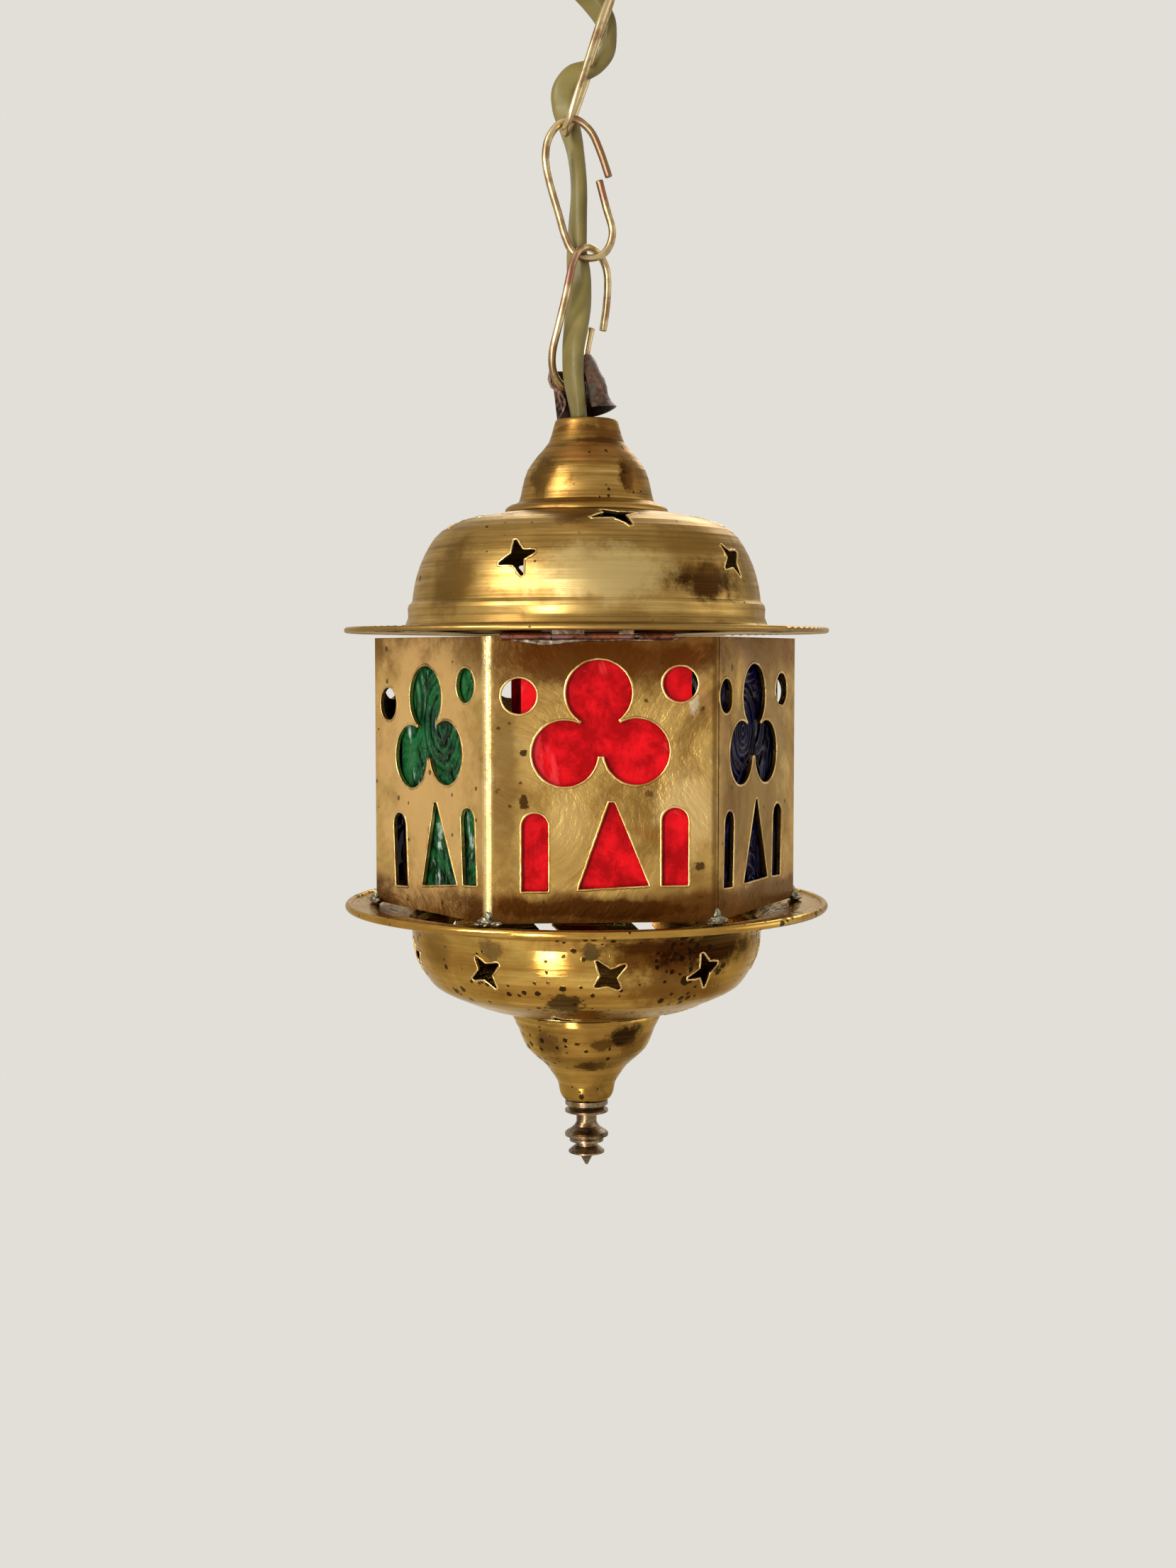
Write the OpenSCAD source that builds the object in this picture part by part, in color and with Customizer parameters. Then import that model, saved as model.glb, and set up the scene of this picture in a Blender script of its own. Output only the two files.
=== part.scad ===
// Pierced brass hanging lantern. A hexagonal cage with coloured panes hangs by a hinge
// from a domed lid. The lid hangs on a chain of open wire links, and a flat flex is
// threaded down the chain to a small lampholder inside.
// Pieces are drawn with z = 0 at the mid plane of the lid's flange, and every one is
// then moved down by ceiling_z, so that the origin is on the ceiling above the lantern.

/* [Body] */
// Distance from the axis to the outer face of a body panel
body_apothem = 49.1; // [44:0.1:60]
// Height of the body panels
body_h = 70; // [58:0.5:90]
// Thickness of the sheet that the panels are bent from
panel_t = 1; // [0.6:0.1:1.2]
// Outside radius of the bends between the panels
bend_r = 2.3; // [1.6:0.1:4]
// Gap between the lid's flange and the top edge of the body
lid_gap = 1.6; // [1.2:0.1:3]

/* [Pierced panels] */
// Radius of a lobe of the trefoil
lobe_r = 8.15; // [6:0.05:9]
// Distance from the trefoil's centre to the centre of a lobe
lobe_pitch = 9.9; // [8:0.1:11]
// Radius of the round holes
hole_r = 4.35; // [3:0.05:5.5]
// Height of the triangle
triangle_h = 21.4; // [16:0.1:25]
// Width of the triangle's base
triangle_w = 17.5; // [12:0.1:20]
// Height of the side slots
slot_h = 19.2; // [14:0.1:23]
// Width of the side slots
slot_w = 6.6; // [4:0.1:8]

/* [Panes] */
// Width of a pane of glass
pane_w = 39.8; // [32:0.1:46]
// Thickness of the glass
pane_t = 2.5; // [2:0.1:4]
// Distance from the ends of the body to a pane
pane_inset = 4.5; // [3.5:0.1:8]
// Thickness of the clips that hold a pane
clip_t = 0.5; // [0.3:0.05:0.8]
// Clearance between a pane and its clips
pane_clear = 0.1; // [0.05:0.05:0.3]

/* [Lid] */
// Thickness of the spun sheet of lid, neck, bowl and bell
sheet_t = 0.8; // [0.6:0.05:1.2]
// How far the flanges stand out past the body's corners
flange_lip = 7.7; // [4:0.1:14]
// Height of the dome
dome_h = 31.3; // [24:0.1:40]
// How far the dome stands back from the faces of the body
dome_inset = 1.6; // [1:0.1:6]
// Radius of the neck at its foot
neck_foot_r = 21.7; // [19:0.1:26]
// Height of the neck
neck_h = 25.7; // [22:0.1:32]
// Size of the stars, from the middle to a tip
star_r = 5.4; // [3:0.1:6]

/* [Base] */
// Depth of the bowl
bowl_h = 29; // [24:0.1:40]
// Depth of the bell under the bowl
bell_h = 24.1; // [18:0.1:30]
// Radius of the bell at its mouth
bell_r = 19.9; // [16:0.1:24]
// Radius of the finial's discs
finial_r = 5.9; // [5:0.1:8]
// Length of the finial
finial_h = 18.1; // [12:0.1:22]

/* [Hinge] */
// Radius of the hinge tubes
tube_r = 0.95; // [0.8:0.05:1.4]
// Radius of the hinge pin
pin_r = 0.5; // [0.4:0.05:0.6]
// Clearance of the pin in the tubes
pin_clear = 0.1; // [0.05:0.05:0.2]
// Length of the lid's tube
lid_tube_l = 20; // [14:0.5:24]
// Clearance between two tubes, end to end
tube_clear = 0.3; // [0.2:0.05:0.6]

/* [Chain and flex] */
// Radius of the chain's wire
wire_r = 1; // [0.8:0.05:1.1]
// Width of the flat flex
flex_w = 6.8; // [6:0.1:6.8]
// Thickness of the flat flex
flex_t = 3.9; // [3.2:0.1:4]
// Radius of the ceiling hook's wire
hook_wire_r = 1.5; // [1.2:0.1:1.6]
// Inside radius of the eye that carries the lantern
eye_r = 1.6; // [1.5:0.05:1.8]

/* [Lamp] */
// Radius of the threaded tube that carries the lampholder
nipple_r = 5; // [4.6:0.1:5.5]
// Radius of the threaded tube's bore
nipple_bore_r = 4; // [3.6:0.1:4.2]
// Radius of the lampholder's body
holder_r = 12; // [10:0.1:13]
// Length of the lampholder's body
holder_h = 27; // [22:0.5:32]
// Inside radius of the lamp's thread shell
shell_r = 7.05; // [6.6:0.05:7.4]

/* [Ceiling] */
// Distance from the neck's mouth to the ceiling
hang_h = 158; // [158:1:170]
// Radius of the ceiling canopy
canopy_r = 40; // [32:1:60]
// Depth of the ceiling canopy
canopy_h = 25; // [22:0.5:26]
// Distance between the two ceiling screws
screw_pitch = 56; // [44:1:60]

/* [Hidden] */
$fn = 96;
eps = 0.01;

half_t = sheet_t / 2;
body_top = -half_t - lid_gap;
body_bottom = body_top - body_h;
body_mid = (body_top + body_bottom) / 2;
corner_r = body_apothem / cos(30);
flange_r = corner_r + flange_lip;
bead_r = 0.75;
turned = -94.4;

// Lid: shoulder of the dome as shares of its radius and height, top to bottom
dome_r = body_apothem - dome_inset;
dome_mouth_r = 13;
skirt_z = 7.6;
dome_shape = [[0.45, 0.992], [0.568, 0.965], [0.695, 0.92], [0.813, 0.834],
    [0.88, 0.712], [0.933, 0.546], [0.964, 0.383]];
dome_stars_low = [-22.5, 57, 129, 201, 264];
dome_stars_high = [12.8, 82, 155, 215, 286];

// Neck: outline as shares of the foot's radius and the neck's height, top to bottom
neck_seat = 0.15;
neck_z = dome_h * 0.992 + neck_seat;
neck_top = neck_z + neck_h;
neck_shape = [[0.345, 0.958], [0.375, 0.95], [0.39, 0.92], [0.405, 0.875], [0.465, 0.72], [0.594, 0.59],
    [0.724, 0.436], [0.783, 0.276], [0.83, 0.11], [0.93, 0.075], [0.985, 0.045],
    [1, 0.018], [1, 0]];
ceiling_z = neck_top + hang_h;

// Base: bowl as shares of its radius and depth, and the bell below it
base_gap = 0.6;
base_z = body_bottom - base_gap - sheet_t;
bowl_r = body_apothem - 2.2;
bowl_shape = [[0.998, 0.297], [0.98, 0.435], [0.95, 0.55], [0.9, 0.68], [0.843, 0.758],
    [0.715, 0.853], [0.605, 0.92], [0.448, 0.983], [0.3, 1]];
bowl_stars_high = [-76, -33.9, 7.1, 40.5, 80, 119, 158, 195, 237];
bowl_stars_low = [-12, 62, 134, 206, 278];
bell_seat = 0.25;
bell_z = base_z - bowl_h * 0.989 - bell_seat;
bell_shape = [[1, 0], [1, 0.06], [0.925, 0.185], [0.884, 0.281], [0.814, 0.401],
    [0.704, 0.493], [0.558, 0.601], [0.462, 0.709], [0.395, 0.8], [0.378, 0.86],
    [0.362, 0.925], [0.332, 0.975], [0.3, 1]];
bell_bottom = bell_z - bell_h;
stud_r = 2;
finial_shape = [[0, 0], [0.98, 0.006], [0.98, 0.075], [0.75, 0.082], [0.8, 0.11], [0.99, 0.157],
    [0.99, 0.188], [0.475, 0.2], [0.465, 0.345], [0.56, 0.403], [0.71, 0.448], [0.93, 0.492],
    [0.995, 0.514], [0.995, 0.552], [0.75, 0.585], [0.78, 0.6], [0.78, 0.635], [0.51, 0.652],
    [0.51, 0.7], [0.825, 0.785], [0.825, 0.807], [0.3, 0.84], [0.285, 0.862], [0.06, 1], [0, 1]];

// Panels, from the front one anticlockwise: sideways shift, upward shift and lean of the
// hand-cut pattern in each
panel_fit = [[0, 0, 0], [-3.2, -1, -2.5], [1.5, 0.5, 1], [-1, -0.5, -1.5], [2, -1, 2],
    [1.1, -1.5, 3.5]];
seam_w = 0.3;

// Panes
pane_y = body_apothem - panel_t - clip_t - pane_clear;
pane_top = body_top - pane_inset;
pane_bottom = body_bottom + pane_inset + 1;
pane_shift = [1.3, -1.5, 1, -1.5, 0.5, 4];
pane_extra = [2, 0, 0, 0, 0, 0];
broken_pane = 5;
clip_pad = 5;
low_clip_pad = 10;
clip_x = [-9, 9];
low_clip_x = [-9.5, 17.8];

// Hinge
hinge_gap = 0.15;
hinge_y = -body_apothem - hinge_gap - tube_r;
solder_t = 0.55;
hinge_z = -half_t - solder_t - tube_r;
lid_tube_x = -12.3;
left_tube_x = -24.5;
left_tube_l = lid_tube_x - tube_clear - left_tube_x;
right_tube_x = lid_tube_x + lid_tube_l + tube_clear + 0.9;
right_tube_l = 8.4;

// Lamp
bridge_z = neck_z + 6;
bridge_t = 1.2;
bridge_w = 14;
nut_h = 3;
seat = 0.1;
nipple_top = bridge_z + bridge_t + seat + nut_h + 1.8;
nipple_bottom = bridge_z - 7;
cap_h = 18;
cap_top = bridge_z - seat;
cap_bottom = cap_top - cap_h;
holder_top = cap_bottom + 4;
holder_bottom = holder_top - holder_h;
shell_t = 0.4;
shell_l = 13.5;

// Eye that carries the lid, in the neck's own coordinates from its mouth
eye_ring_r = eye_r + wire_r;
eye_x = -2.8;
eye_y = 0.9;
eye_z = neck_top + 6.8;
eye_turn = -50;
eye_foot = [-1.6, neck_shape[0][0] * neck_foot_r - wire_r - 0.7, neck_top - 6];

// Torn cap: outlines of its right and its left side as height and radius, its lean, and
// the angles between which its sheet runs
cap_t = 0.6;
torn_right = [[0, 8.1], [1.6, 6.9], [3.5, 6.3], [5.6, 6.3], [7.8, 5.9], [9.7, 5.1],
    [12.3, 4.3], [14.3, 3.4]];
torn_left = [[-1, 8.1], [0.9, 6.6], [2.4, 5.8], [3.8, 5.7], [5.7, 6.7], [7.5, 8.6],
    [9.8, 9.1], [12, 8.3]];
torn_lean = -8.4;
torn_from = -84;
torn_to = 170;
torn_seat = 1.35;

// Chain: points of each wire's centre line, measured from the neck's mouth
link_1_path = [[1.2, 7.3, 93.4], [2.6, 7.2, 97.5], [5.2, 7, 104.5], [7, 5.4, 110],
    [7.9, 2.3, 112.6], [7.9, -2.3, 112.6], [6.2, -5.6, 108.8], [3.6, -7, 101.7],
    [1.3, -7.1, 94.8], [-1.4, -7.1, 86.4], [-3.8, -6.8, 79.2], [-5, -5.2, 75.6],
    [-5.6, -2.2, 74.1], [-5.5, 2.2, 74.1], [-4.4, 5.4, 76.3], [-2.3, 7, 81.6], [0.6, 7.3, 89.6]];
link_2_path = [[5.8, -0.5, 62.6], [3.7, -0.3, 68.8], [1.2, 0, 74.1], [-2.6, 0, 77.1],
    [-6.6, 0, 76.4], [-9.9, 0, 72.4], [-10.8, 0, 67], [-9.8, 0, 61], [-7.4, 0, 52.8],
    [-5.6, 0, 46.6], [-3.4, 0, 42.7], [1.2, 0, 41.3], [5.2, 0, 43.2], [6.9, 0.2, 48.2],
    [5.2, 0.4, 54.8], [3.5, 0.6, 61.4]];
link_3_path = [[4.9, 6.1, 23.6], [5.8, 5.9, 30], [6.1, 5.5, 36.4], [5.4, 4.7, 40.3],
    [3.4, 2.8, 43.1], [0.6, 0, 44.1], [-2.2, -2.9, 42.6], [-3.9, -4.6, 39.2],
    [-4.9, -5.4, 35], [-6.2, -5.6, 29], [-7.8, -5.4, 22.5], [-9.3, -4.6, 16],
    [-9.1, -3.2, 11.5], [-7.5, -1.7, 8.6], [-5.3, -0.5, 7.2], [-2.9, 0.8, 6.9],
    [-1.3, 2.6, 8.7], [-0.4, 4.1, 13], [0.5, 4.7, 18.5], [1.6, 4.8, 23.6]];

// Flex: points of its centre line from the neck's mouth, each with the direction of the
// flex's width, and the points at which one stretch of it ends and the next begins
flex_path = [[-12, 7, 148, 0], [-12, 7, 138, 0], [-12, 7, 131, 0], [-10.5, 7.4, 126, -5],
    [-5.5, 9, 119, -15], [2.2, 11, 111.6, -35], [5.9, 12.4, 107, -60], [6.9, 12.6, 102.5, -82],
    [6.1, 12.6, 98, -72], [2.9, 12.4, 94.7, -40], [-2.1, 12.2, 92, -8], [-5, 12, 88, 0],
    [-5, 12, 83.3, -25], [-3.6, 11.3, 78.2, -55], [-2.3, 8.2, 71, -80], [-1.6, 5.4, 61, -84],
    [-2, 4.7, 51, -72], [-2.2, 4.7, 43.5, -60], [-1.8, 3.6, 37.5, -35], [-2.1, 0.8, 29.5, -5],
    [-2.9, -2.4, 23.4, -30], [-3.8, -4.6, 17, -52], [-3.9, -5.1, 10.4, -60],
    [-3.1, -4.6, 4.8, -72], [-2.3, -3.1, 0, -86], [-1.4, -1.9, -5.5, -90], [-0.3, -0.4, -11.5, -90],
    [0, 0, -15, -90], [0, 0, -22, -90], [0, 0, -28, -90]];
flex_cuts = [0, 8, 15, 21, 29];
flex_steps = 3;

// Ceiling
hook_x = 7.9;
hook_bend_r = 7.9;
hook_z = neck_top + 110.1 + hook_bend_r;
bracket_t = 2;
bracket_w = 20;
canopy_z = ceiling_z - canopy_h;
grommet_at = [flex_path[0][0], flex_path[0][1]];
grommet_r = 5.4;

// Curves and outlines

// A point of the smooth curve through b and c, with a and d as their outer neighbours
function spline(a, b, c, d, t) =
    b + t * (c - a) / 2 + t * t * (a - 2.5 * b + 2 * c - d / 2)
    + t * t * t * (1.5 * b - 1.5 * c + (d - a) / 2);

// The smooth curve through all points of a list, in n steps from each to the next
function curve(p, n) = [
    for (i = [0:len(p) - 2]) for (k = [0:n - 1])
        spline(p[max(i - 1, 0)], p[i], p[i + 1], p[min(i + 2, len(p) - 1)], k / n),
    p[len(p) - 1]];

function unit(v) = v / norm(v);
function reversed(p) = [for (i = [len(p) - 1:-1:0]) p[i]];
function scaled(p, r, h) = [for (q = p) [q[0] * r, q[1] * h]];
function moved(p, z) = [for (q = p) [q[0], q[1] + z]];

// Direction square to an outline at point i, on its right-hand side
function square_to(p, i) =
    let (a = unit(p[min(i + 1, len(p) - 1)] - p[max(i - 1, 0)])) [a[1], -a[0]];

// Outline of a sheet t thick with its outer face along p
function sheet_outline(p, t) =
    concat(p, reversed([for (i = [0:len(p) - 1]) p[i] + t * square_to(p, i)]));

// Outline of a hexagon with rounded corners
function hexagon(apothem, r) = [
    for (k = [0:5]) for (j = [0:4])
        (apothem - r) / cos(30) * [cos(60 * k), sin(60 * k)]
        + r * [cos(60 * k - 30 + 15 * j), sin(60 * k - 30 + 15 * j)]];

// Four-pointed star with blunt tips, hand-cut a little differently for each k
function star(r, k) = [
    for (i = [0:3])
        let (tip = r * (1 - 0.07 * ((k + 2 * i) % 3)), waist = r * (0.36 + 0.04 * ((2 * k + i) % 4)))
            for (q = [[tip, -0.07 * r], [tip, 0.07 * r], waist * [cos(45), sin(45)]])
                [q[0] * cos(90 * i) - q[1] * sin(90 * i), q[0] * sin(90 * i) + q[1] * cos(90 * i)]];

// Sweeps

// Side and second side of a section at point i of a path, square to the path
function along(p, i) = unit(p[min(i + 1, len(p) - 1)] - p[max(i - 1, 0)]);
function side_of(t, wanted) = unit(wanted - (wanted * t) * t);
function ring(c, t, wanted, section) =
    let (u = side_of(t, wanted), v = cross(t, u)) [for (s = section) c + s[0] * u + s[1] * v];
function round_section(r, n) = [for (i = [0:n - 1]) r * [cos(360 * i / n), sin(360 * i / n)]];

// Section of the flat flex: two half circles side by side
function flex_section() = [
    for (i = [0:9]) let (a = i < 5 ? -90 + 45 * i : 90 + 45 * (i - 5), side = i < 5 ? 1 : -1)
        flex_t / 2 * [cos(a), sin(a)] + side * [(flex_w - flex_t) / 2, 0]];

// Solid through a row of rings with the same number of points
module skin(rings) {
    n = len(rings[0]);
    m = len(rings);
    polyhedron(
        points = [for (r = rings) for (q = r) q],
        faces = concat(
            [[for (j = [n - 1:-1:0]) j]],
            [for (i = [0:m - 2]) for (j = [0:n - 1]) let (k = (j + 1) % n)
                for (f = [[i * n + j, i * n + k, (i + 1) * n + k],
                          [i * n + j, (i + 1) * n + k, (i + 1) * n + j]]) f],
            [[for (j = [0:n - 1]) (m - 1) * n + j]]),
        convexity = 6);
}

module wire(path, r, steps) {
    line = curve(path, steps);
    normal = cross(path[4] - path[0], path[8] - path[0]);
    skin([for (i = [0:len(line) - 1]) ring(line[i], along(line, i), normal, round_section(r, 8))]);
}

module from_ceiling() {
    translate([0, 0, -ceiling_z]) children();
}

module from_neck() {
    from_ceiling() translate([0, 0, neck_top]) children();
}

// Sheet of revolution with its outer face along a path
module spun(path, t) {
    rotate_extrude() polygon(sheet_outline(path, t));
}

// Cutters of a ring of stars on a spun sheet: radius and height of the ring, angles,
// elevation of the sheet's outward direction, and size
module star_ring(r, z, angles, elevation, size) {
    for (i = [0:len(angles) - 1]) {
        rotate([0, 0, turned + angles[i]]) translate([r, 0, z]) rotate([0, 90 - elevation, 0])
            linear_extrude(8, center = true) rotate(20 + 9 * (i % 3)) polygon(star(size, i));
    }
}

module tube(r, bore, h) {
    difference() {
        cylinder(h = h, r = r);
        translate([0, 0, -1]) cylinder(h = h + 2, r = bore);
    }
}

module hex_nut(across, bore, h) {
    difference() {
        cylinder(h = h, r = across / 2 / cos(30), $fn = 6);
        translate([0, 0, -1]) cylinder(h = h + 2, r = bore);
    }
}

// Ceiling end

module ceiling_bracket() {
    color("silver") from_ceiling() translate([0, 0, ceiling_z - bracket_t]) difference() {
        translate([-screw_pitch / 2 - 7, -bracket_w / 2, 0])
            cube([screw_pitch + 14, bracket_w, bracket_t]);
        for (x = [-1, 1]) translate([x * screw_pitch / 2, 0, -1]) cylinder(h = 4, r = 2.3);
        translate([0, 0, -1]) cylinder(h = 4, r = hook_wire_r + 0.05);
    }
}

module ceiling_canopy() {
    path = concat([[canopy_r, 0], [canopy_r, -2]],
        curve([[canopy_r - 1.2, -3], [canopy_r - 4, -8], [canopy_r - 9, -14],
            [canopy_r - 13, -20], [canopy_r - 15.5, 1 - canopy_h]], 3),
        [[canopy_r - 17, -canopy_h], [hook_wire_r + 0.4, -canopy_h]]);
    color("goldenrod") from_ceiling() translate([0, 0, ceiling_z]) difference() {
        spun(path, sheet_t);
        translate([grommet_at[0], grommet_at[1], -canopy_h - 2]) cylinder(h = 6, r = 4.5);
    }
}

module canopy_nut() {
    color("goldenrod") from_ceiling() translate([0, 0, canopy_z - 3.1])
        tube(4.5, hook_wire_r + 0.05, 3);
}

module hook_nut() {
    color("silver") from_ceiling() translate([0, 0, ceiling_z - bracket_t - 3.1])
        hex_nut(6.5, hook_wire_r + 0.05, 3);
}

module ceiling_hook() {
    shank_l = ceiling_z - 0.5 - hook_z;
    color("goldenrod") from_ceiling() union() {
        translate([hook_x, 0, hook_z]) rotate([90, 0, 0]) rotate([0, 0, 180])
            rotate_extrude(angle = 190) translate([hook_bend_r, 0]) circle(hook_wire_r, $fn = 24);
        translate([hook_x - hook_bend_r, 0, hook_z - eps]) cylinder(h = shank_l, r = hook_wire_r);
    }
}

module flex_grommet() {
    bore = flex_w / 2 + 0.3;
    color("dimgray") from_ceiling() translate([grommet_at[0], grommet_at[1], canopy_z])
        rotate_extrude() polygon([[bore, -1.6], [grommet_r, -1.6], [grommet_r, -0.1],
            [4.3, -0.1], [4.3, sheet_t + 0.1], [grommet_r, sheet_t + 0.1],
            [grommet_r, 2.2], [bore, 2.2]]);
}

module terminal_block() {
    block_top = ceiling_z - bracket_t;
    block_bottom = neck_top + flex_path[0][2];
    color("ivory") from_ceiling() difference() {
        translate([grommet_at[0] - 9, 1, block_bottom]) cube([17, 11, block_top - block_bottom]);
        for (x = [-4, 4]) translate([grommet_at[0] + x, grommet_at[1] - 4, block_bottom + 4])
            rotate([90, 0, 0]) cylinder(h = 6, r = 1.6);
    }
}

// Chain and flex

module link_1() { color("khaki") from_neck() wire(link_1_path, wire_r, 3); }

module link_2() { color("khaki") from_neck() wire(link_2_path, wire_r, 3); }

module link_3() { color("khaki") from_neck() wire(link_3_path, wire_r, 2); }

module flex_stretch(number) {
    line = curve(flex_path, flex_steps);
    centre = [for (q = line) [q[0], q[1], q[2]]];
    first = flex_cuts[number - 1] * flex_steps;
    last = flex_cuts[number] * flex_steps;
    color("darkkhaki") from_neck() skin([for (i = [first:last])
        ring(centre[i], along(centre, i), [cos(line[i][3]), sin(line[i][3]), 0], flex_section())]);
}

// Lid

module hanger_eye() {
    eye_bottom = eye_z - eye_ring_r;
    color("goldenrod") from_ceiling() union() {
        translate([eye_x, eye_y, eye_z]) rotate([90, 0, eye_turn])
            rotate_extrude() translate([eye_ring_r, 0]) circle(wire_r, $fn = 24);
        skin([for (q = curve([[eye_x + 0.2, eye_y + 0.1, eye_bottom + 0.7],
            [eye_x + 0.5, eye_y + 0.6, eye_bottom - 0.5],
            [(eye_x + eye_foot[0]) / 2, (eye_y + eye_foot[1]) / 2 + 0.4, eye_bottom - 2.6],
            [eye_foot[0], eye_foot[1], neck_top - 0.6], eye_foot], 3))
            [for (s = round_section(wire_r, 8)) [q[0] + s[0], q[1] + s[1], q[2]]]]);
    }
}

module eye_solder() {
    wall_r = neck_shape[2][0] * neck_foot_r - sheet_t - 0.1;
    solder_top = neck_z + neck_shape[2][1] * neck_h;
    color("gray") from_ceiling() difference() {
        intersection() {
            translate([eye_foot[0] - 2.4, eye_foot[1] - 0.4, eye_foot[2] + 1])
                cube([4.8, 4, solder_top - eye_foot[2] - 1]);
            translate([0, 0, eye_foot[2]]) cylinder(h = 6, r = wall_r);
        }
        translate([eye_foot[0], eye_foot[1], eye_foot[2] - 1]) cylinder(h = 8, r = wire_r + 0.2);
    }
}

// Share of the right-hand outline in the torn cap at an angle
function right_share(a) = a < 0 ? 1 : a < 90 ? pow(cos(a), 3) : 0;
function torn_point(a, i, t) =
    let (s = right_share(a), q = s * torn_right[i] + (1 - s) * torn_left[i], r = q[1] - t)
    [r * cos(a), r * sin(a), q[0]];

module torn_cap() {
    n = len(torn_right) - 1;
    steps = 24;
    color("saddlebrown") from_neck() translate([0, 0, torn_seat]) rotate([0, torn_lean, 0])
        skin([for (j = [0:steps]) let (a = torn_from + (torn_to - torn_from) * j / steps)
            concat([for (i = [n:-1:0]) torn_point(a, i, cap_t)], [for (i = [0:n]) torn_point(a, i, 0)])]);
}

module neck_bell() {
    color("peru") from_ceiling()
        spun(moved(scaled(curve(neck_shape, 2), neck_foot_r, neck_h), neck_z), sheet_t);
}

module neck_inside(clear) {
    line = moved(scaled(curve(neck_shape, 2), neck_foot_r, neck_h), neck_z);
    inner = [for (i = [0:len(line) - 1]) line[i] + (sheet_t + clear) * square_to(line, i)];
    rotate_extrude() polygon(concat([[0, line[len(line) - 1][1]]], [[0, line[0][1]]], inner));
}

module neck_bridge() {
    tab_h = 4;
    color("peru") from_ceiling() difference() {
        intersection() {
            translate([-neck_foot_r, -bridge_w / 2, bridge_z])
                cube([2 * neck_foot_r, bridge_w, tab_h]);
            neck_inside(0.1);
        }
        translate([-neck_foot_r * 0.72, -bridge_w, bridge_z + bridge_t])
            cube([neck_foot_r * 1.44, 2 * bridge_w, tab_h]);
        translate([0, 0, bridge_z - 1]) cylinder(h = 6, r = nipple_r + 0.15);
    }
}

function dome_line() = concat(
    curve(concat([[dome_mouth_r, dome_h]], scaled(dome_shape, dome_r, dome_h),
        [[dome_r - 1.1, skirt_z]]), 2),
    [[dome_r - 0.1, skirt_z - 1], [dome_r + 0.1, skirt_z - 2], [dome_r, 3.4],
        [dome_r + 0.7, 1.6], [dome_r + 1.9, 0.7], [dome_r + 3.1, half_t],
        [flange_r - bead_r, half_t]]);

module top_dome() {
    color("goldenrod") from_ceiling() difference() {
        union() {
            spun(dome_line(), sheet_t);
            rotate_extrude() translate([flange_r - bead_r, 0]) circle(bead_r, $fn = 24);
        }
        star_ring(dome_r * 0.933, dome_h * 0.57, dome_stars_low, 25, star_r);
        star_ring(dome_r * 0.695, dome_h * 0.92, dome_stars_high, 66, star_r * 1.35);
    }
}

module lamp_nipple() {
    color("silver") from_ceiling() translate([0, 0, nipple_bottom])
        tube(nipple_r, nipple_bore_r, nipple_top - nipple_bottom);
}

module lock_nut() {
    color("silver") from_ceiling() translate([0, 0, bridge_z + bridge_t + seat])
        hex_nut(14, nipple_r + 0.05, nut_h);
}

module lampholder_cap() {
    skirt_r = holder_r + 1;
    wall = 0.9;
    path = concat([[nipple_r + 0.1, cap_top], [6.8, cap_top], [7, cap_top - 0.4]],
        curve([[7, cap_top - 3.5], [8.2, cap_top - 5.5], [skirt_r - 1.2, cap_top - 8.5],
            [skirt_r, cap_top - 11.5]], 2), [[skirt_r, cap_bottom]]);
    color("goldenrod") from_ceiling() spun(path, wall);
}

module lampholder_body() {
    color("ivory") from_ceiling() difference() {
        translate([0, 0, holder_bottom]) cylinder(h = holder_h, r = holder_r);
        translate([0, 0, holder_bottom - 1])
            cylinder(h = shell_l + 3.4, r = shell_r + shell_t + seat);
        translate([0, 0, holder_top - 8]) cylinder(h = 9, r = holder_r - 2.2);
    }
}

module thread_shell() {
    color("silver") from_ceiling() translate([0, 0, holder_bottom + 0.8])
        tube(shell_r + shell_t, shell_r, shell_l);
}

module lamp_contact() {
    color("silver") from_ceiling() translate([0, 0, holder_bottom + shell_l + 1.2])
        cylinder(h = 1.15, r = 3.2);
}

// Turns what is drawn along z into a piece along x on the hinge's axis
module on_hinge(x) {
    from_ceiling() translate([x, hinge_y, hinge_z]) rotate([0, 90, 0]) children();
}

module hinge_tube(x, l) {
    on_hinge(x) tube(tube_r, pin_r + pin_clear, l);
}

module hinge_tube_lid() {
    color("sienna") hinge_tube(lid_tube_x, lid_tube_l);
}

module hinge_solder_lid() {
    spans = [[lid_tube_x, 7.8], [lid_tube_x + 16.2, 3.7]];
    color("gray") difference() {
        for (s = spans) from_ceiling() translate([s[0], hinge_y - 0.9, hinge_z + 0.35])
            cube([s[1], 1.8, tube_r - 0.35 + solder_t]);
        on_hinge(lid_tube_x - 1) cylinder(h = lid_tube_l + 2, r = tube_r + 0.02);
    }
}

module catch_tab() {
    tab_y = body_apothem - panel_t - 0.6;
    color("goldenrod") from_ceiling() translate([-5, tab_y, -half_t]) rotate([90, 0, 90])
        linear_extrude(10) polygon([[0, 0], [0, -4.6], [-0.4, -5.4], [-1, -5], [-0.6, -4.3],
            [-0.6, -0.6], [-6, -0.6], [-6, 0]]);
}

// Cage

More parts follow.
